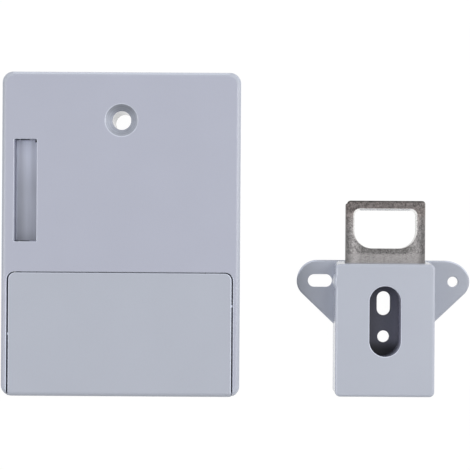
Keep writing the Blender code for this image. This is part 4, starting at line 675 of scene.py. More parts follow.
def tongue_metal():
    """Stamped steel under nickel plate: speckled, brown and darker at the tip and the rims, on a
    base far darker than nickel that is a painted dark reflection.
    """
    g = Graph("stamped_nickel_steel")
    x, y, z = (g.axis(name) for name in "XYZ")
    across = g.math("ABSOLUTE", g.minus(x, TONGUE_X * MM))
    ragged = g.times(g.minus(g.noise(700.0, 4.0, 0.7), 0.5), 1.6 * MM)
    from_left = g.minus(x, (TONGUE_X - TONGUE_HALF) * MM)
    from_side = g.minus(TONGUE_HALF * MM, across)
    from_tip = g.minus(TONGUE_TIP * MM, y)
    from_rim = g.plus(g.math("MINIMUM", from_left, from_tip), ragged)
    rim = g.fade(from_rim, 0.66, 1.0, 0.1, 1.0)
    # The limbs beside the eye are brighter than the bar across the tip
    side = g.times(g.fade(from_side, 0.94, 1.72, 0.8, 3.0), g.fade(y, 1.0, 0.0, 7.4, 9.4))
    side = g.plus(side, g.fade(y, 0.0, 1.0, 7.4, 9.4))
    limb = g.fade(from_left, 1.3, 1.0, 3.0, 5.5)
    limb = g.minus(limb, g.times(g.minus(limb, 1.0), g.fade(y, 0.0, 1.0, 7.0, 9.0)))
    tip = g.fade(y, 1.0, 0.96, 4.3, 9.8)
    low = g.fade(y, 0.86, 0.75, -7.1, -5.7)
    # A ragged dark band crosses the plate below the eye
    band = g.fade(g.plus(y, g.times(ragged, 0.6)), 0.0, 1.0, -6.7, -5.7)
    band = g.times(band, g.fade(y, 1.0, 0.0, -4.3, -1.7), g.fade(across, 1.0, 0.0, 6.5, 11.0))
    # Painted highlight: the side walls are brighter than the face, and less speckled
    edge = (TONGUE_Z[1] - 0.8, TONGUE_Z[1] - 0.4)
    sides_highlight = g.fade(z, 2.1, 1.0, *edge)
    calm = g.times(g.fade(y, 0.32, 1.0, -7.4, -5.2), g.fade(z, 0.3, 1.0, *edge))
    grains = g.noise(1350.0, 4.0, 0.7)
    pits = g.noise(2700.0, 3.0, 0.7)
    clouds = g.noise(150.0, 3.0)
    speckle = g.vary(grains, -0.45, 0.45, SPECKLE_BAND)
    speckle = g.plus(speckle, g.vary(pits, -0.28, 0.28, SPECKLE_BAND))
    tone = g.times(rim, side, limb, tip, low, g.ramp(band, 1.0, 0.60), sides_highlight)
    tone = g.times(tone, g.plus(g.times(speckle, calm), 1.0))
    brown = g.times(g.fade(y, 0.1, 1.0, 0.0, 9.0), g.vary(clouds, 0.4, 1.0, (0.35, 0.65)))
    # The brown base, far darker than nickel, is a painted dark reflection
    brown_dark_reflection = g.mix(brown, (0.158, 0.153, 0.153), (0.174, 0.154, 0.149))
    relief = g.bump(g.plus(grains, g.times(pits, 0.5)), 0.3, 0.00004)
    return g.finish(brown_dark_reflection, tone, g.vary(grains, 0.26, 0.46), relief, metallic=1.0)


def eye_edge_metal():
    """The eye's edge, a painted highlight: far paler metal than the face, brightest along the tip's
    bar.
    """
    g = Graph("eye_edge_painted_highlight")
    lines = g.noise(1500.0, 4.0, 0.65)
    tone = g.times(g.vary(lines, 0.94, 1.06), g.fade(g.axis("Y"), 1.05, 1.5, 7.2, 9.2))
    shine = g.vary(lines, 0.2, 0.34, LINE_BAND)
    relief = g.bump(lines, 0.12, DRAWN)
    return g.finish((0.66, 0.655, 0.645), tone, shine, relief, metallic=1.0)


def board_mask():
    """Green solder mask with copper tracks under it and pale pads."""
    g = Graph("circuit_board_mask")
    tracks = {
        "Vector": g.coords,
        "Scale": 330.0,
        "Mortar Size": 0.09,
        "Brick Width": 1.7,
        "Row Height": 0.32,
        "Color1": (0.018, 0.13, 0.055),
        "Color2": (0.024, 0.16, 0.068),
        "Mortar": (0.05, 0.27, 0.11),
    }
    brick = g.node("TexBrick", tracks, offset=0.37)
    vias = g.ramp(g.voronoi(420.0), 1.0, 0.0, 0.0, 0.16)
    pads = g.mix(vias, brick.outputs["Color"], (0.62, 0.56, 0.42))
    shine = g.ramp(g.noise(800.0), 0.25, 0.4)
    return g.finish(pads, None, shine, g.bump(brick.outputs["Fac"], 0.2))


def copper_winding():
    """Enamelled copper wire."""
    g = Graph("enamelled_copper")
    tone = g.noise(700.0, 3.0, 0.6)
    colour = g.mix(tone, (0.62, 0.25, 0.11), (0.8, 0.38, 0.19))
    shine = g.ramp(tone, 0.2, 0.36)
    return g.finish(colour, None, shine, g.bump(tone, 0.08, DRAWN), metallic=1.0, coat=0.4)


def foam_material():
    """Open-cell foam."""
    g = Graph("open_cell_foam")
    cells = g.voronoi(2400.0)
    tone = g.ramp(cells, 0.45, 1.15, 0.0, 0.6)
    relief = g.bump(cells, 0.8, 0.00012)
    return g.finish((0.085, 0.085, 0.092), tone, 0.95, relief, specular=0.1)


def cell_material(name, dark, pale, band, rough, relief=None):
    """Plain film on a cell, with faint lines along it."""
    g = Graph(name)
    grain = g.noise(900.0, 3.0, 0.6, (0.1, 1.0, 1.0))
    colour = g.mix(g.vary(grain, 0.0, 1.0, band), dark, pale)
    normal = g.bump(grain, relief, DRAWN) if relief else None
    return g.finish(colour, None, g.ramp(grain, *rough), normal, coat=0.3)


GREY_BASE = (0.442, 0.460, 0.552)
GREY_COOL = (0.447, 0.473, 0.546)
# The well's slates are painted lighter than the plate's own slate: painted light in the deep well
WELL_FLOOR = (0.194, 0.199, 0.254)
WELL_SIDE = (0.162, 0.166, 0.212)
FACE = (0.27, 0.31)
LIP_ROUGH = (0.2, 0.28)
DULL = (0.4, 0.55)
SATIN = (0.35, 0.5)
grey = plastic("grey_case_plastic", GREY_BASE, FACE)
grey_cool = plastic("grey_cover_plastic", GREY_COOL, FACE)
# Painted highlights: the lips round openings and gaps, the upper rims and the countersink's ring
# are painted 1.65 or 1.25 times lighter than the plastic
edge_highlight_grey = plastic("painted_highlight_edge_grey", scaled(GREY_COOL, 1.65), LIP_ROUGH)
lip_highlight_grey = plastic("painted_highlight_lip_grey", scaled(GREY_COOL, 1.25), LIP_ROUGH)
grey_round = plastic("grey_moulded_edge", GREY_COOL, (0.25, 0.31), 0.05)
# The corners' plastic is rougher, and painted 1.06 times lighter as a highlight
grey_corner = plastic("grey_corner_painted_highlight", scaled(GREY_COOL, 1.06), (0.44, 0.5), 0.05)
grey_wall = plastic("grey_polished_wall", GREY_COOL, (0.13, 0.19), 0.05)
bore_grey = plastic("grey_bore_plastic", GREY_BASE, (0.08, 0.14), 0.03)
charcoal = plastic("charcoal_plastic", (0.060, 0.061, 0.075), DULL, 0.2, 0.06)
black = plastic("black_component_plastic", (0.016, 0.016, 0.018), DULL, 0.25, 0.08)
nylon = plastic("white_nylon", (0.78, 0.775, 0.74), SATIN, 0.1, 0.02)
slate = plastic("slate_base_plastic", (0.105, 0.108, 0.137), (0.36, 0.46), 0.15, 0.03)
red_wire = plastic("red_wire_insulation", (0.52, 0.025, 0.018), SATIN, mottle=0.06)
black_wire = plastic("black_wire_insulation", (0.014, 0.014, 0.015), SATIN, mottle=0.06)
zinc = steel("bright_zinc_steel", (0.56, 0.57, 0.585), contrast=0.08)
contact_nickel = steel("contact_nickel", (0.66, 0.63, 0.58), (0.18, 0.32), (0.15, 1.0, 1.0))
spring_nickel = steel("spring_wire", (0.6, 0.59, 0.57), (0.2, 0.32), scale=3500.0)
brass = steel("machined_brass", (0.72, 0.52, 0.23), (0.22, 0.38), (1.0, 0.1, 1.0))
drawn_can = steel("drawn_motor_can", (0.52, 0.53, 0.55), (0.22, 0.36), (1.0, 0.08, 1.0))
capacitor_can = steel("capacitor_can", (0.62, 0.64, 0.67), (0.28, 0.4), (1.0, 1.0, 0.1))
shutter_grey = shutter_plastic()
countersink_grey = countersink_plastic()
ear_grey = graded("grey_ear_plastic", GREY_COOL, ear_painted_shade, 2600.0, 0.015, (0.32, 0.38), 0.12)
well_slate = graded(
    "slate_well_plastic", WELL_FLOOR, well_painted_shade, 2200.0, 0.07, (0.36, 0.5), 0.18, 0.25
)
well_wall = graded(
    "slate_wall_plastic", WELL_SIDE, well_wall_painted_light, 5200.0, 0.03, (0.22, 0.3), 0.08, 0.25
)
tongue_steel = tongue_metal()
eye_edge_highlight = eye_edge_metal()
board_green = board_mask()
copper = copper_winding()
foam = foam_material()
cell_film = cell_material(
    "cell_film", (0.36, 0.37, 0.385), (0.42, 0.43, 0.44), NOISE_BAND, (0.24, 0.36), 0.06
)
cell_band = cell_material(
    "cell_film_band", (0.045, 0.07, 0.12), (0.06, 0.09, 0.145), (0.0, 1.0), (0.25, 0.38)
)


# Front case

def case_shape(low=0.35):
    outline = rectangle(about(0.0, CASE_X), about(0.0, CASE_Y), CASE_CORNER, steps=16)
    return solid(outline, (0.0, CASE_Z), low, CASE_EDGE, 10)


def bore_profile():
    """The screw hole with a rounded lower rim and a countersink."""
    flare_low = CASE_Z - (HOLE_FLARE - HOLE_BORE)
    wide = HOLE_BORE + HOLE_ROUND
    found = [(0.0, -PAST), (wide, -PAST)]
    found += arc(wide, HOLE_ROUND - 0.01, HOLE_ROUND, 270, 180, 5)
    found += [(HOLE_BORE, flare_low - 0.15), (HOLE_BORE + 0.05, flare_low)]
    for out, up in ((-0.3, -0.35), (-0.12, -0.16), (0.1, -0.04), (0.3, 0.01), (0.3, PAST)):
        found.append((HOLE_FLARE + out, CASE_Z + up))
    return found + [(0.0, CASE_Z + PAST)]


def case_face(c, n):
    radius = math.hypot(c.x, c.y - HOLE_Y)
    inside = abs(c.x) < CASE_X - 1.5 and abs(c.y) < CASE_Y - 1.5
    cornered = abs(c.x) > CASE_X - CASE_CORNER and abs(c.y) > CASE_Y - CASE_CORNER
    if radius < HOLE_BORE + 0.04:
        return bore_grey
    if radius < HOLE_FLARE - 0.05 and c.z > CASE_Z - 3.0:
        return countersink_grey
    # A painted highlight rings the countersink
    if radius < HOLE_FLARE + 0.6 and n.z < RIM_Z[1]:
        return lip_highlight_grey
    # The lips round the openings get painted highlights
    if inside and not cornered and c.z > CASE_Z - LIP and rounded(n):
        slot_side = c.x < SLOT_X[0] + 0.5 and c.y > COVER_LINE + 1.0
        return edge_highlight_grey if abs(n.x) > abs(n.y) and not slot_side else lip_highlight_grey
    if not inside and abs(n.z) < 0.05:
        return grey_wall
    # The corners are painted a little lighter as a highlight
    if cornered and c.z > CASE_Z - CASE_EDGE and n.z < 0.9999:
        return grey_corner
    # The upper rim is painted lighter as a highlight
    if not inside and 0.05 < n.z < 0.97:
        return lip_highlight_grey if n.y > 0.5 else grey_round
    return None


case = Piece("case_front", case_shape())
bay_x = (-INNER_X - 0.15, INNER_X - RIGHT_SHY)
bay_y = (-CASE_Y - PAST, COVER_LINE + COVER_GAP / 2 - 0.12)
bay = rectangle(bay_x, bay_y, COVER_CORNER + COVER_GAP, 0.5, 16)
inner = rectangle(about(0.0, INNER_X), about(0.0, INNER_Y), INNER_CORNER, steps=8)
slot = rectangle((SLOT_X[0], SLOT_X[1] + 0.18), SLOT_Y, 0.25, steps=4)
tube_outline = circle(0.0, HOLE_Y, TUBE_RADIUS)
case.cut(opening(inner, (0.0, INNER_FRONT), low=0.3))
case.cut(opening(bay, (SKIRT_LOW - COVER_GAP, CASE_Z), high=LIP))
case.cut(opening(slot, (INNER_FRONT - 1.0, CASE_Z), high=LIP))
case.add(solid(tube_outline, (0.0, INNER_FRONT + ROOT), low=0.4))
for side in SIDES:
    boss = (side * TOP_BOSS[0], TOP_BOSS[1])
    case.add(screw_boss(boss, (FOOT, INNER_FRONT + ROOT)))
    rail = corners(span(side, RAIL_INNER, INNER_X + ROOT), (RAIL_END, COVER_LINE - 0.2))
    case.add(solid(rail, RAIL_Z))
case.cut(lathe(bore_profile(), (0.0, HOLE_Y, 0.0), 64))
case.done(grey, "lock", ["front_case"], "case_grey")
case_greys = [bore_grey, countersink_grey, edge_highlight_grey, grey_wall, lip_highlight_grey, grey_round, grey_corner]
case.paint(case_greys, case_face)


# Battery cover

def cover_face(c, n):
    skirt = -CASE_Y + 1.7
    # The lips along the gaps get painted highlights
    if c.y > skirt and c.z > CASE_Z - LIP and rounded(n):
        return edge_highlight_grey if abs(n.x) > 0.4 * abs(n.y) else lip_highlight_grey
    return grey_round if c.y < skirt and -0.05 < n.z < 0.97 else None


cover = Piece("battery_cover_panel", case_shape(low=0.0))
cover_top = COVER_LINE - COVER_GAP / 2
cover_root = COVER_UNDER + ROOT
panel_x = (-COVER_SIDE + 0.05, COVER_SIDE - 0.45)
panel = rectangle(panel_x, (-CASE_Y - PAST, cover_top), COVER_CORNER, 0.5, 16)
runner_y = (RUNNER_END, cover_top - 2.4)
cover.combine("INTERSECT", solid(panel, (SKIRT_LOW, CASE_Z + 0.003), 0.3, LIP))
cover.cut(box((-40.0, 40.0), (-CASE_Y + SKIRT, 0.0), (0.0, COVER_UNDER)))
for side in SIDES:
    hook_x = span(side, *HOOK_X)
    foot_x = span(side, RUNNER_X[0], 38.55)
    runner_z = (RUNNER_Z[0], cover_root)
    cover.add(box(span(side, *RUNNER_X), runner_y, runner_z))
    cover.add(box(foot_x, runner_y, RUNNER_Z))
    cover.add(box(hook_x, (-15.55, -11.75), (19.5, 20.5)))
    cover.add(box(hook_x, (-17.75, -15.15), (19.5, cover_root)))
    # A web behind the gap closes the cover's lower corner
    shy = RIGHT_SHY if side > 0 else 0.0
    left, right = span(side, COVER_SIDE - 1.6, INNER_X - 0.08 - shy)
    web = [(right, -54.2), (left, -54.2), (left, -55.84), (right, -55.54)]
    cover.add(solid(web, (SKIRT_LOW + 0.2, CASE_Z - 1.5)))
# A flange behind the cross gap keeps light and dust out
cover.add(box(FLANGE_X, (-14.6, -12.3), (19.65, 20.25)))
cover.add(box(FLANGE_X, (-15.4, -14.3), (19.65, cover_root)))
nub = [(0.0, -0.55), (0.12, -0.4), (0.22, 0.0), (0.12, 0.4), (0.0, 0.55)]
for side, y in ((1, -24.6), (-1, -34.5)):
    x = side * (COVER_SIDE + 0.02) - (RIGHT_SHY if side > 0 else 0.0)
    cover.add(lathe(nub, (x, y, CASE_Z - 0.42), 16, "Y"))
cover.done(grey_cool, "cover", ["battery_cover"], "case_grey")
cover.paint([edge_highlight_grey, grey_round, lip_highlight_grey], cover_face)

# Foam pad under the cover
pad_outline = rectangle((-15.0, 15.0), (-48.45, -21.85), 0.8, steps=6)
pad = Piece("cover_foam_pad", solid(pad_outline, (19.8, 20.8), 0.3, 0.0, 4))
pad = pad.done(foam, "cover", ["cover_foam"], "grey_foam", 60.0)

# Back plate
plate_outline = rectangle((-38.85, 38.85), (-53.65, 53.65), 1.45, steps=8)
plate = Piece("back_plate", solid(plate_outline, (0.0, BACK_PLATE), 0.25))
case_screws = [(side * TOP_BOSS[0], TOP_BOSS[1]) for side in SIDES]
case_screws += [(side * BAY_MIDDLE, TRAY_SCREW_Y) for side in SIDES]
through = (0.0, 4.0)
tube_gap = circle(0.0, HOLE_Y, TUBE_RADIUS + GAP, 64)
plate.cut(opening(tube_gap, through, low=0.25))
for place in case_screws:
    plate.cut(screw_recess(place))
    plate.cut(screw_hole(place, (1.0, 4.0)))
for side in SIDES:
    mount = circle(side * BAY_MIDDLE, MOUNT_Y, MOUNT_BORE)
    plate.cut(opening(mount, through, low=0.3))
for place in BOARD_SCREWS:
    plate.add(screw_boss(place, (1.6, 2.7)))
    plate.cut(screw_hole(place, (1.0, 4.0)))
plate.done(grey, "lock", ["back_cover"], "case_grey")

# Slot chute
chute_outer = box((-38.2, -28.0), (-3.95, 34.05), (FOOT, 20.5), 0.3)
chute = Piece("slot_guide_chute", chute_outer)
chute_inner = rectangle((-37.0, -29.2), (-2.75, 32.85), 0.25, steps=4)
chute.cut(opening(chute_inner, (2.0, 20.5), high=0.05))
chute.cut(box((-30.2, -27.0), (6.2, 23.9), (8.35, 15.05)))
for y in ((-3.15, -2.35), (32.45, 33.25)):
    chute.add(box((-31.9, -28.8), y, (17.3, 18.5)))
chute.cut(rod(HINGE_BORE, (-10.0, 40.0), HINGE))
chute.done(grey, "lock", ["slot_chute"], "case_grey")


# Shutter

def flap_section():
    """The flap's section in x and z: a leaf that runs smoothly out of its hinge barrel."""
    section = [(-29.5, 15.65), (-29.5, 16.75), (-29.57, 16.93), (-29.75, 17.0)]
    for step in range(13):
        share = step / 12
        section.append((-32.3 - 3.4 * share, 17.0 + 0.2 * share * share * (3 - 2 * share)))
    section += [(-36.3, 17.19), (-36.65, 17.16), (-36.85, 17.07), (-36.95, 16.9)]
    for step in range(9):
        angle = math.pi / 2 * step / 8
        section.append((HINGE[0] - 1.25 * math.cos(angle), 15.9 - 0.7 * math.sin(angle)))
    return section + [(-34.9, 15.28), (-34.3, 15.4), (-29.75, 15.4), (-29.57, 15.47)]


section = flap_section()
flap_ends = ((-2.45, 0.15), (-2.41, 0.05), (-2.3, 0.0), (32.4, 0.0), (32.51, 0.05), (32.55, 0.15))
rings = [[(x, y, z) for x, z in moved(section, inset)] for y, inset in flap_ends]
flap = Piece("slot_shutter_flap", loft(rings))
flap.cut(box((-30.3, -29.0), (31.75, 33.0), (15.0, 18.0)))
flap.cut(rod(HINGE_BORE, (-5.0, 40.0), HINGE))
flap.done(shutter_grey, "shutter", ["slot_shutter"], "case_grey")

pin_profile = [(0.0, -8.1), (0.35, -8.1), (0.5, -7.95), (0.5, 34.2), (0.35, 34.35), (0.0, 34.35)]
pin = lathe(pin_profile, (HINGE[0], 0.0, HINGE[1]), 24, "Y")
Piece("shutter_hinge_pin", pin).done(zinc, "shutter", ["shutter_pin"], "zinc_steel")

# Torsion spring on the pin's lower end
legs_z = HINGE[1] - TORSION_RADIUS
coil = [(HINGE[0] + 3.2, TORSION_TOP, legs_z)]
for step in range(3 * TURN_STEPS + 1):
    angle = 2 * math.pi * step / TURN_STEPS
    x = HINGE[0] - TORSION_RADIUS * math.sin(angle)
    z = HINGE[1] - TORSION_RADIUS * math.cos(angle)
    coil.append((x, TORSION_TOP - TORSION_PITCH * step / TURN_STEPS, z))
coil.append((HINGE[0] - 1.6, TORSION_TOP - 3 * TORSION_PITCH, legs_z))
spring = tube("shutter_torsion_spring", coil, 0.2)
dress(spring, spring_nickel, "lock", ["shutter_spring"])


# Screws

HEAD = [(0.0, -1.1), (0.9, -1.1), (1.5, -1.02), (1.85, -0.8), (2.05, -0.5), (2.1, -0.2), (2.1, 0.0)]


def screw(node, x, y, seat, tip, turn, body="lock", up=True):
    """A pan-head screw with a cross recess, a shank and a rolled thread."""
    name = node.replace("screw", "screw_body")
    length = abs(tip - seat)
    turns = max(3, int((length - 1.2) / SCREW_PITCH))
    profile = HEAD + [(1.0, 0.0)]
    for number in range(turns):
        z = 0.4 + number * SCREW_PITCH
        profile += [(0.78, z), (1.0, z + SCREW_PITCH / 2)]
    profile += [(0.78, 0.4 + turns * SCREW_PITCH), (0.0, length)]
    made = Piece(name, lathe(profile, sides=40))
    for quarter in (0.0, 90.0):
        arm = box((-1.25, 1.25), (-0.3, 0.3), (-3.0, -0.5))
        for vert in arm.data.vertices:
            if vert.co.z > -1.0 * MM:
                vert.co.x *= 0.5
                vert.co.y *= 0.6
        arm.data.transform(Matrix.Rotation(math.radians(turn + quarter), 4, "Z"))
        made.cut(arm)
    made.settle()
    if not up:
        made.turn("X")
    made.shift(x, y, seat)
    made.done(zinc, body, [node], "zinc_steel", 40.0)


for number, (x, y) in enumerate(case_screws):
    screw(f"case_screw_{number + 1}", x, y, SCREW_SEAT, 6.3, 17.0 + 31.0 * number)
for number, (x, y) in enumerate(BOARD_SCREWS):
    screw(f"board_screw_{number + 1}", x, y, 4.3, 1.3, 40.0 * number, up=False)
for number in range(3):
    node = f"guide_screw_{number + 1}"
    low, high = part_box(node)
    middle = (low + high) / 2 / MM
    screw(node, middle.x, middle.y, low.z / MM + 1.1, high.z / MM, 25.0 * number)
for number, (x, y) in enumerate(TONGUE_SCREWS):
    screw(f"strike_screw_{number + 1}", x, y, SCREW_SEAT, 13.4, 12.0 + 50.0 * number, "strike")


# Battery tray

def tray_bay(x, z):
    """A cutter for a bay that runs out of the tray's lower end."""
    return opening(corners(x, (-56.0, TRAY_INNER_TOP)), z, high=0.15)


# Number, direction of the positive end, and middle of each cell
cells = [(n + 1, 1 if n % 2 == 0 else -1, CELL_FIRST + n * CELL_PITCH) for n in range(4)]
low_z = (TRAY_FLOOR, PARTITION_HIGH)
boss_z = (FOOT, TRAY_BOSS_TOP)
tray = Piece("battery_tray_bay", box(about(0.0, TRAY_X), TRAY_Y, TRAY_Z))
tray.cut(tray_bay(about(0.0, TRAY_INNER_X), (PARTITION_HIGH, TRAY_Z[1])))
tray.cut(tray_bay(about(0.0, PARTITION_X[0]), low_z))
for side in SIDES:
    mount = (side * BAY_MIDDLE, MOUNT_Y)
    fixed = (side * BAY_MIDDLE, TRAY_SCREW_Y)
    tray.cut(tray_bay(span(side, PARTITION_X[1], TRAY_INNER_X), low_z))
    tray.add(solid(circle(*mount, 3.8, 40), boss_z))
    tray.add(screw_boss(fixed, boss_z))
    bore = circle(*mount, MOUNT_BORE)
    tray.cut(opening(bore, (1.0, TRAY_FLOOR), high=0.3))
    tray.cut(screw_hole(fixed, (1.0, TRAY_BOSS_TOP)))
button_hole = circle(BAY_MIDDLE, BUTTON_Y, 2.6)
tray.cut(opening(button_hole, (7.0, TRAY_FLOOR), high=0.2))
for number in range(2):
    lead_place = (LEAD_X + LEAD_STEP * number, CELL_MIDDLE)
    tray.cut(rod(0.75, (-13.0, -8.0), lead_place))
for number, way, y in cells[::3]:
    tray.cut(box((25.0, 28.0), about(y, 2.3), (10.2, 11.2)))
tray.done(charcoal, "lock", ["battery_tray"], "charcoal_plastic")

# Cells: turned steel cans under plain film, with their caps bare
cell_end = CONTACT_X - 0.3
cell_start = cell_end - CELL_LENGTH
low_end = ((0.0, 0.0), (3.6, 0.0), (3.9, 0.12), (4.2, 0.05), (4.7, 0.08), (5.05, 0.3))
high_end = ((5.05, 1.5), (4.6, 1.2), (4.4, 1.35), (2.4, 1.3), (2.0, 1.15), (1.9, 0.9), (1.9, 0.15))
cell_profile = [(radius, cell_start + up) for radius, up in low_end]
cell_profile += [(CELL_RADIUS, cell_start + up) for up in (0.7, 12.0, 22.0, CELL_BAND)]
cell_profile += [(CELL_RADIUS, cell_end - 1.9)]
cell_profile += [(radius, cell_end - down) for radius, down in high_end]
cell_profile += [(1.75, cell_end), (0.0, cell_end)]


def film_rule(way, y):
    def film_face(c, n):
        along = way * c.x
        wrapped = math.hypot(c.y - y, c.z - CELL_MIDDLE) > 4.45
        if wrapped and cell_start + 0.06 < along < cell_end - 1.25:
            return cell_band if along > cell_start + CELL_BAND else cell_film
        return None

    return film_face


for number, way, y in cells:
    cell = Piece(f"cell_{number}", lathe(cell_profile, sides=64, axis="X"))
    if way < 0:
        cell.turn("Z")
    cell.shift(0.0, y, CELL_MIDDLE)
    cell.done(zinc, "lock", [f"battery_cell_{number}"], "cell_wrap", 40.0)
    cell.paint([cell_film, cell_band], film_rule(way, y))

# Contact springs
spring_steps = 3 * TURN_STEPS
for number, way, y in cells:
    path = []
    for step in range(spring_steps + 1):
        share = step / spring_steps
        radius = 3.1 - share
        angle = 2 * math.pi * step / TURN_STEPS
        x = -way * (CONTACT_X - 0.55 - 4.1 * share)
        path.append((x, y + radius * math.cos(angle), CELL_MIDDLE + radius * math.sin(angle)))
    spring = tube(f"cell_spring_{number}", path, 0.25)
    dress(spring, spring_nickel, "lock", [f"contact_spring_{number}"])

# Setup button
profile = [(0.0, 6.6), (3.1, 6.6), (3.3, 6.75), (3.3, 7.15), (3.15, 7.3), (2.3, 7.3), (2.3, 9.6)]
profile += [(2.2, 9.82), (1.95, 9.95), (1.5, 9.98), (0.0, 9.85)]
button = Piece("setup_push_button", lathe(profile, (BAY_MIDDLE, BUTTON_Y, 0.0)))
button.done(nylon, "button", ["setup_button"], "white_nylon")


# Leads

def smooth_path(knots, steps=10):
    """A rounded path through knots."""
    knots = [Vector(knot) for knot in knots]
    ends = knots[:1] + knots + knots[-1:]
    found = []
    for p, q, r, s in zip(ends, ends[1:], ends[2:], ends[3:]):
        for step in range(steps):
            t = step / steps
            bend = (2 * p - 5 * q + 4 * r - s) * t**2 + (3 * q - p - 3 * r + s) * t**3
            found.append(q + (r - p) * t / 2 + bend / 2)
    return found + knots[-1:]


def lead(kind, tone, material, knots):
    wire = tube(f"{kind}_wire_{tone}", smooth_path(knots), LEAD_RADIUS, 12)
    dress(wire, material, "lock", [f"{kind}_lead_{tone}"])


socket_low, socket_high = (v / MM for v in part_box("lead_socket"))
socket_y = (socket_low.y + socket_high.y) / 2
lead_top = socket_high.z + 0.75
for number, (tone, material) in enumerate((("red", red_wire), ("black", black_wire))):
    offset = (number - 0.5) * LEAD_STEP
    lead_z = MOTOR_Z + offset
    end_x = socket_low.x + SOCKET_STEP * (number + 1)
    knots = [
        (MOTOR_X + 2 * offset, -6.8, lead_z),
        (MOTOR_X + 2 * offset + 4.4, LEAD_RUN_Y, lead_z),
        (-1.7, LEAD_RUN_Y, lead_z),
        (-0.5, LEAD_RUN_Y, lead_top + offset),
        (end_x - LEAD_STEP, LEAD_RUN_Y, lead_top + LEAD_STEP + offset),
        (end_x, socket_y - 1.25, lead_top),
    ]
    lead("motor", tone, material, knots)
    source = CELL_FIRST if number else CELL_FIRST + 3 * CELL_PITCH
    aside = LEAD_STEP * number
    start_x = LEAD_X + aside
    end_x = socket_low.x + SOCKET_STEP * (4 - number)
    knots = [
        (LEAD_X, source, 11.65),
        (start_x, source + 4.4, CELL_MIDDLE),
        (start_x, TRAY_INNER_TOP - 2.2, CELL_MIDDLE),
        (start_x, -8.55, CELL_MIDDLE),
        (start_x - LEAD_STEP, socket_y + aside, CELL_MIDDLE + aside),
        (end_x + 4.4, socket_y + aside, CELL_MIDDLE + aside),
        (end_x, socket_y + 1.25, lead_top),
    ]
    lead("battery", tone, material, knots)

# Antenna winding: one flat spiral of enamelled wire
coil_low, coil_high = (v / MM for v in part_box("antenna_coil"))
coil_z = (coil_low.z + coil_high.z) / 2
path = []
for turn in range(8):
    inset = 0.2 + turn * 0.36
    coil_x = (coil_low.x + inset, coil_high.x - inset)
    coil_y = (coil_low.y + inset, coil_high.y - inset)
    path += level(rectangle(coil_x, coil_y, 3.0 - inset * 0.5, steps=8), coil_z)
winding = tube("antenna_winding", path, 0.15, 8)
dress(winding, copper, "lock", ["antenna_coil"])


# Strike housing

def ear_half(reach, stretch=1.0):
    lower = arc(reach - EAR_TIP, EAR_Y, EAR_TIP, EAR_FALL - 90, 0, 12)
    upper = arc(reach - EAR_TOP, EAR_Y, EAR_TOP, 0, 90, 20)
    upper = [(reach - (reach - x) * stretch, EAR_Y + (y - EAR_Y) * EAR_LIFT) for x, y in upper]
    near = STRIKE_HALF - 0.9
    fall = math.tan(math.radians(EAR_FALL)) * (lower[0][0] - near)
    return [(near, lower[0][1] - fall)] + lower + upper[1:]


def ear_outline():
    right = [(STRIKE_X + x, y) for x, y in ear_half(EAR_REACH[1], EAR_STRETCH)]
    left = [(STRIKE_X - x, y) for x, y in reversed(ear_half(EAR_REACH[0]))]
    return right + left


def by_window(c, margin):
    wide = abs(c.x - STRIKE_X) < WINDOW_WIDTH / 2 + margin
    return wide and abs(c.y - WINDOW_Y) < WINDOW_LENGTH / 2 + margin


def housing_face(c, n):
    aside = abs(c.x - STRIKE_X)
    left = STRIKE_X - STRIKE_HALF
    ear_rim = EAR_Z - 0.7 < c.z < EAR_Z - 0.05 and aside > STRIKE_HALF
    # The ears' upper rim gets a painted highlight
    if ear_rim and n.y > 0.2 and n.z > 0.1:
        return lip_highlight_grey
    # The ears and the bulge's side walls get the ears' painted shade
    if c.z < EAR_Z + 0.05 and aside > STRIKE_HALF - 0.2 and n.z > 0.2:
        return ear_grey
    if c.z > EAR_Z and c.x < left - 0.02 and abs(n.z) < 0.08:
        return ear_grey
    # The left rim is painted lighter, a painted highlight
    if c.z > STRIKE_Z - STRIKE_EDGE and c.x < left + 1.0 and n.x < -0.1 and n.z > 0.1:
        return lip_highlight_grey
    # The window's lips get painted highlights
    if by_window(c, 0.6) and c.z > STRIKE_Z - 0.31 and rounded(n):
        return edge_highlight_grey
    return grey_wall if abs(n.z) < 0.08 else None


housing_x = about(STRIKE_X, STRIKE_HALF)
housing_outline = rectangle(housing_x, (STRIKE_BOTTOM, STRIKE_TOP), STRIKE_CORNER)
block = solid(housing_outline, (0.0, STRIKE_Z), 0.2, STRIKE_EDGE, 8)
for vert in block.data.vertices:
    if vert.co.y > STRIKE_Y * MM:
        vert.co.y += STRIKE_SLOPE * MM * (1 - vert.co.z / (STRIKE_Z * MM))
housing = Piece("strike_body", block)
bulge_x = STRIKE_X - STRIKE_HALF - BULGE_STAND + BULGE[0]
unit = circle(0.0, 0.0, 1.0, 72)
bulge = [(bulge_x + BULGE[0] * x, EAR_SLOT[1] + BULGE[1] * y) for x, y in unit]
ear_z = (0.0, EAR_Z)
hollow_x = about(STRIKE_X, HOLLOW_HALF)
fork_x = about(TONGUE_X, TONGUE_HALF + TONGUE_GAP)
fork_z = (TONGUE_Z[0] - TONGUE_GAP, TONGUE_Z[1] + TONGUE_GAP)
housing.add(solid(ear_outline(), ear_z, 0.15, 0.7))
housing.cut(opening(stadium(*EAR_SLOT, 4.5, 8.6, "X"), ear_z, 0.2, 0.12))
housing.cut(opening(circle(*EAR_HOLE, 1.85), ear_z, 0.2, 0.3))
bulge_z = (EAR_Z - 0.6, STRIKE_Z - 0.002)
housing.add(solid(bulge, bulge_z, 0.0, STRIKE_EDGE, 8))
housing.cut(box(hollow_x, (-54.37, -11.67), (-1.0, HOLLOW_TOP), 0.4))
housing.cut(opening(window(), (13.0, STRIKE_Z), high=0.3))
housing.cut(box(fork_x, (-12.67, -7.67), fork_z))
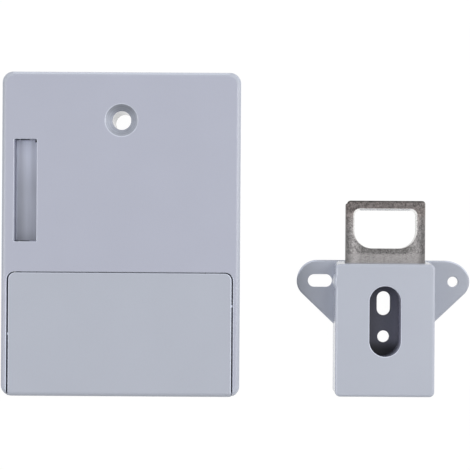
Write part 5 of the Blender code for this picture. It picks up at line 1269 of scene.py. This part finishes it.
for place in TONGUE_SCREWS:
    housing.add(screw_boss(place, (fork_z[1], HOLLOW_TOP + ROOT)))
    housing.cut(screw_hole(place, (10.0, HOLLOW_TOP)))
housing.done(grey_cool, "strike", ["strike_housing"], "case_grey")
housing.paint([ear_grey, edge_highlight_grey, grey_wall, lip_highlight_grey], housing_face)


# Strike base with its well

def base_face(c, n):
    within = by_window(c, 0.4)
    # The well's walls and floor get painted light and shade
    if within and c.z > BASE_Z + 0.1 and abs(n.z) < 0.95:
        return well_wall
    return well_slate if within and c.z > 0.3 else None


base_z = (0.0, BASE_Z)
base_slot = stadium(BASE_SLOT_X, WINDOW_Y + BASE_STEP, 4.76, 8.5, "Y")
base_hole = circle(BASE_SLOT_X, WINDOW_Y - BASE_STEP, 2.1)
base_outline = rectangle(about(STRIKE_X, 15.25), (-54.07, -11.97), 0.3, steps=4)
base = Piece("strike_back_plate", solid(base_outline, base_z, 0.2))
base.add(solid(window(2.7), (1.6, WELL_Z)))
base.cut(opening(window(0.3), (BASE_Z, WELL_Z), high=0.2))
base.cut(opening(base_slot, base_z, 0.2, 0.25, over=1.0))
base.cut(opening(base_hole, base_z, 0.2, 0.25, over=1.0))
for place in TONGUE_SCREWS:
    base.add(screw_boss(place, (1.6, fork_z[0])))
    base.cut(screw_hole(place, (1.0, 8.0)))
    base.cut(screw_recess(place))
base.done(slate, "strike", ["strike_base"], "charcoal_plastic")
base.paint([well_wall, well_slate], base_face)


# Strike tongue

def tongue_outline():
    left, right = about(TONGUE_X, TONGUE_HALF)
    outline = arc(right - 1.1, TONGUE_TIP - 1.1, 1.1, 0, 90, 8)
    outline += arc(left + 1.7, TONGUE_TIP - 1.15, 1.15, 90, 170, 8)
    return outline + [
        (left + 0.2, TONGUE_TIP - 1.18),
        (left, TONGUE_TIP - 1.5),
        (left, TONGUE_END),
        (STRIKE_X - LEG_INNER, TONGUE_END),
        (STRIKE_X - LEG_INNER, FORK_TOP),
        (STRIKE_X + LEG_INNER, FORK_TOP),
        (STRIKE_X + LEG_INNER, TONGUE_END),
        (right, TONGUE_END),
    ]


def eye_cutter():
    """The eye's cutter. Its lead-in bevel is widest at the tip and dies out towards the fork."""
    eye = rectangle((TONGUE_X - 10.91, TONGUE_X + 10.62), (-4.34, 8.89), 1.9, 6.2, 20)
    outer = moved(eye, -1.0)
    width = []
    for (x, y), (u, v) in zip(eye, outer):
        up, right = v - y, u - x
        lead_in = 0.33 + 0.32 * max(up, 0.0) + 0.13 * max(right, 0.0)
        width.append(lead_in - 0.22 * max(-up, 0.0))
    top = TONGUE_Z[1] + NUDGE
    lower = moved(eye, -0.2)
    rings = [level(lower, TONGUE_Z[0] - 1.5), level(lower, TONGUE_Z[0] - NUDGE)]
    rings.append(level(eye, TONGUE_Z[0] + 0.2))
    bevel = ((0.0, 1.08), (0.02, 0.98), (0.06, 0.88), (0.88, 0.16), (0.94, 0.08), (1.0, 0.04))
    for share, depth in bevel + ((1.12, 0.0),):
        ring = []
        for (x, y), (u, v), w in zip(eye, outer, width):
            ring.append((x + (u - x) * w * share, y + (v - y) * w * share, top - 1.75 * w * depth))
        rings.append(ring)
    rings.append([(x, y, top + 1.5) for x, y, z in rings[-1]])
    return loft(rings)


def tongue_face(c, n):
    # The eye's edge gets the painted highlight
    in_eye = abs(c.x - TONGUE_X) < 11.9 and -5.1 < c.y < 10.0
    return eye_edge_highlight if in_eye and -0.5 < n.z < 0.94 else None


tongue = Piece("strike_eye_tongue", solid(tongue_outline(), TONGUE_Z, 0.2, 0.45))
tongue.cut(eye_cutter())
for place in TONGUE_SCREWS:
    tongue.cut(screw_hole(place, (6.0, 11.0)))
tongue.done(tongue_steel, "strike", ["strike_tongue"], "nickel_steel")
tongue.paint([eye_edge_highlight], tongue_face)

# Materials of the nodes that keep their own shape
KEPT = (
    (zinc, ["latch_bolt", "motor_shaft", "motor_clamp", "bolt_keeper"]),
    (brass, ["drive_pinion", "motor_gearbox"]),
    (drawn_can, ["motor_can"]),
    (nylon, ["bolt_guide", "lead_socket"]),
    (black, ["limit_switch", "controller_chip", "radio_chip", "buzzer", "setup_switch"]),
    (board_green, ["circuit_board"]),
    (capacitor_can, ["power_capacitor"]),
    (contact_nickel, [f"contact_plate_{number}" for number in range(1, 6)]),
)
for material, names in KEPT:
    for name in names:
        nodes[name].data.materials.clear()
        nodes[name].data.materials.append(material)

# Floor that shows as white
bm = bmesh.new()
bmesh.ops.create_grid(bm, x_segments=1, y_segments=1, size=3.0)
floor = new_object(bm, "floor")
floor.location = (0.04, 0.0, -0.0002)
WHITE = (1.0, 1.0, 1.0)
g = Graph("white_floor")
glow = g.node("Emission", {"Color": WHITE, "Strength": 1.02}).outputs["Emission"]
matt = g.node("BsdfDiffuse", {"Color": (0.9, 0.9, 0.9)}).outputs["BSDF"]
blend = g.node("MixShader", {"Fac": g.times(g.seen(), 0.97), 1: matt, 2: glow})
output = next(n for n in g.tree.nodes if n.type == "OUTPUT_MATERIAL")
g.link(blend.outputs["Shader"], output.inputs["Surface"])
g.tree.nodes.remove(g.shader)
floor.data.materials.append(g.material)

# World: a pale tent, brighter towards +Y and +X, and plain white where it shows
world = bpy.data.worlds.new("tent")
bpy.context.scene.world = world
world.use_nodes = True
tent = Nodes(world.node_tree)
tent.tree.nodes.clear()
coords = tent.node("TexCoord").outputs["Generated"]
towards = {0: coords, 1: (0.20, 0.34, 0.0)}
lean = tent.node("VectorMath", towards, operation="DOT_PRODUCT").outputs["Value"]
light = {"Factor": tent.seen(), "A": tent.ramp(lean, -0.47, 1.53, -1.0, 1.0), "B": 1.0}
pick = tent.node("Mix", light, data_type="FLOAT").outputs["Result"]
background = tent.node("Background", {"Color": WHITE, "Strength": pick})
tent.node("OutputWorld", {"Surface": background.outputs["Background"]})


# Lamps

def lamp(name, place, size, power):
    data = bpy.data.lights.new(name, "AREA")
    data.shape = "RECTANGLE"
    data.size, data.size_y = size
    data.energy = power
    made = place_in_scene(name, data)
    made.location = place
    aim = Vector((0.04, 0.0, 0.0)) - Vector(place)
    made.rotation_euler = aim.to_track_quat("-Z", "Y").to_euler()


lamp("right_panel", (0.60, 0.10, 0.55), (0.34, 0.95), 3.2)
lamp("left_panel", (-0.8, 0.0, 0.82), (0.22, 1.0), 3.6)

# Camera straight above
camera_data = bpy.data.cameras.new("camera")
camera_data.lens = 137.8
camera_data.sensor_width = 36.0
camera = place_in_scene("camera", camera_data)
camera.location = (0.0394, 0.0, 0.643)
camera.rotation_euler = (0.0, 0.0, 0.0065)
bpy.context.scene.camera = camera
bpy.context.scene.view_settings.view_transform = "Standard"
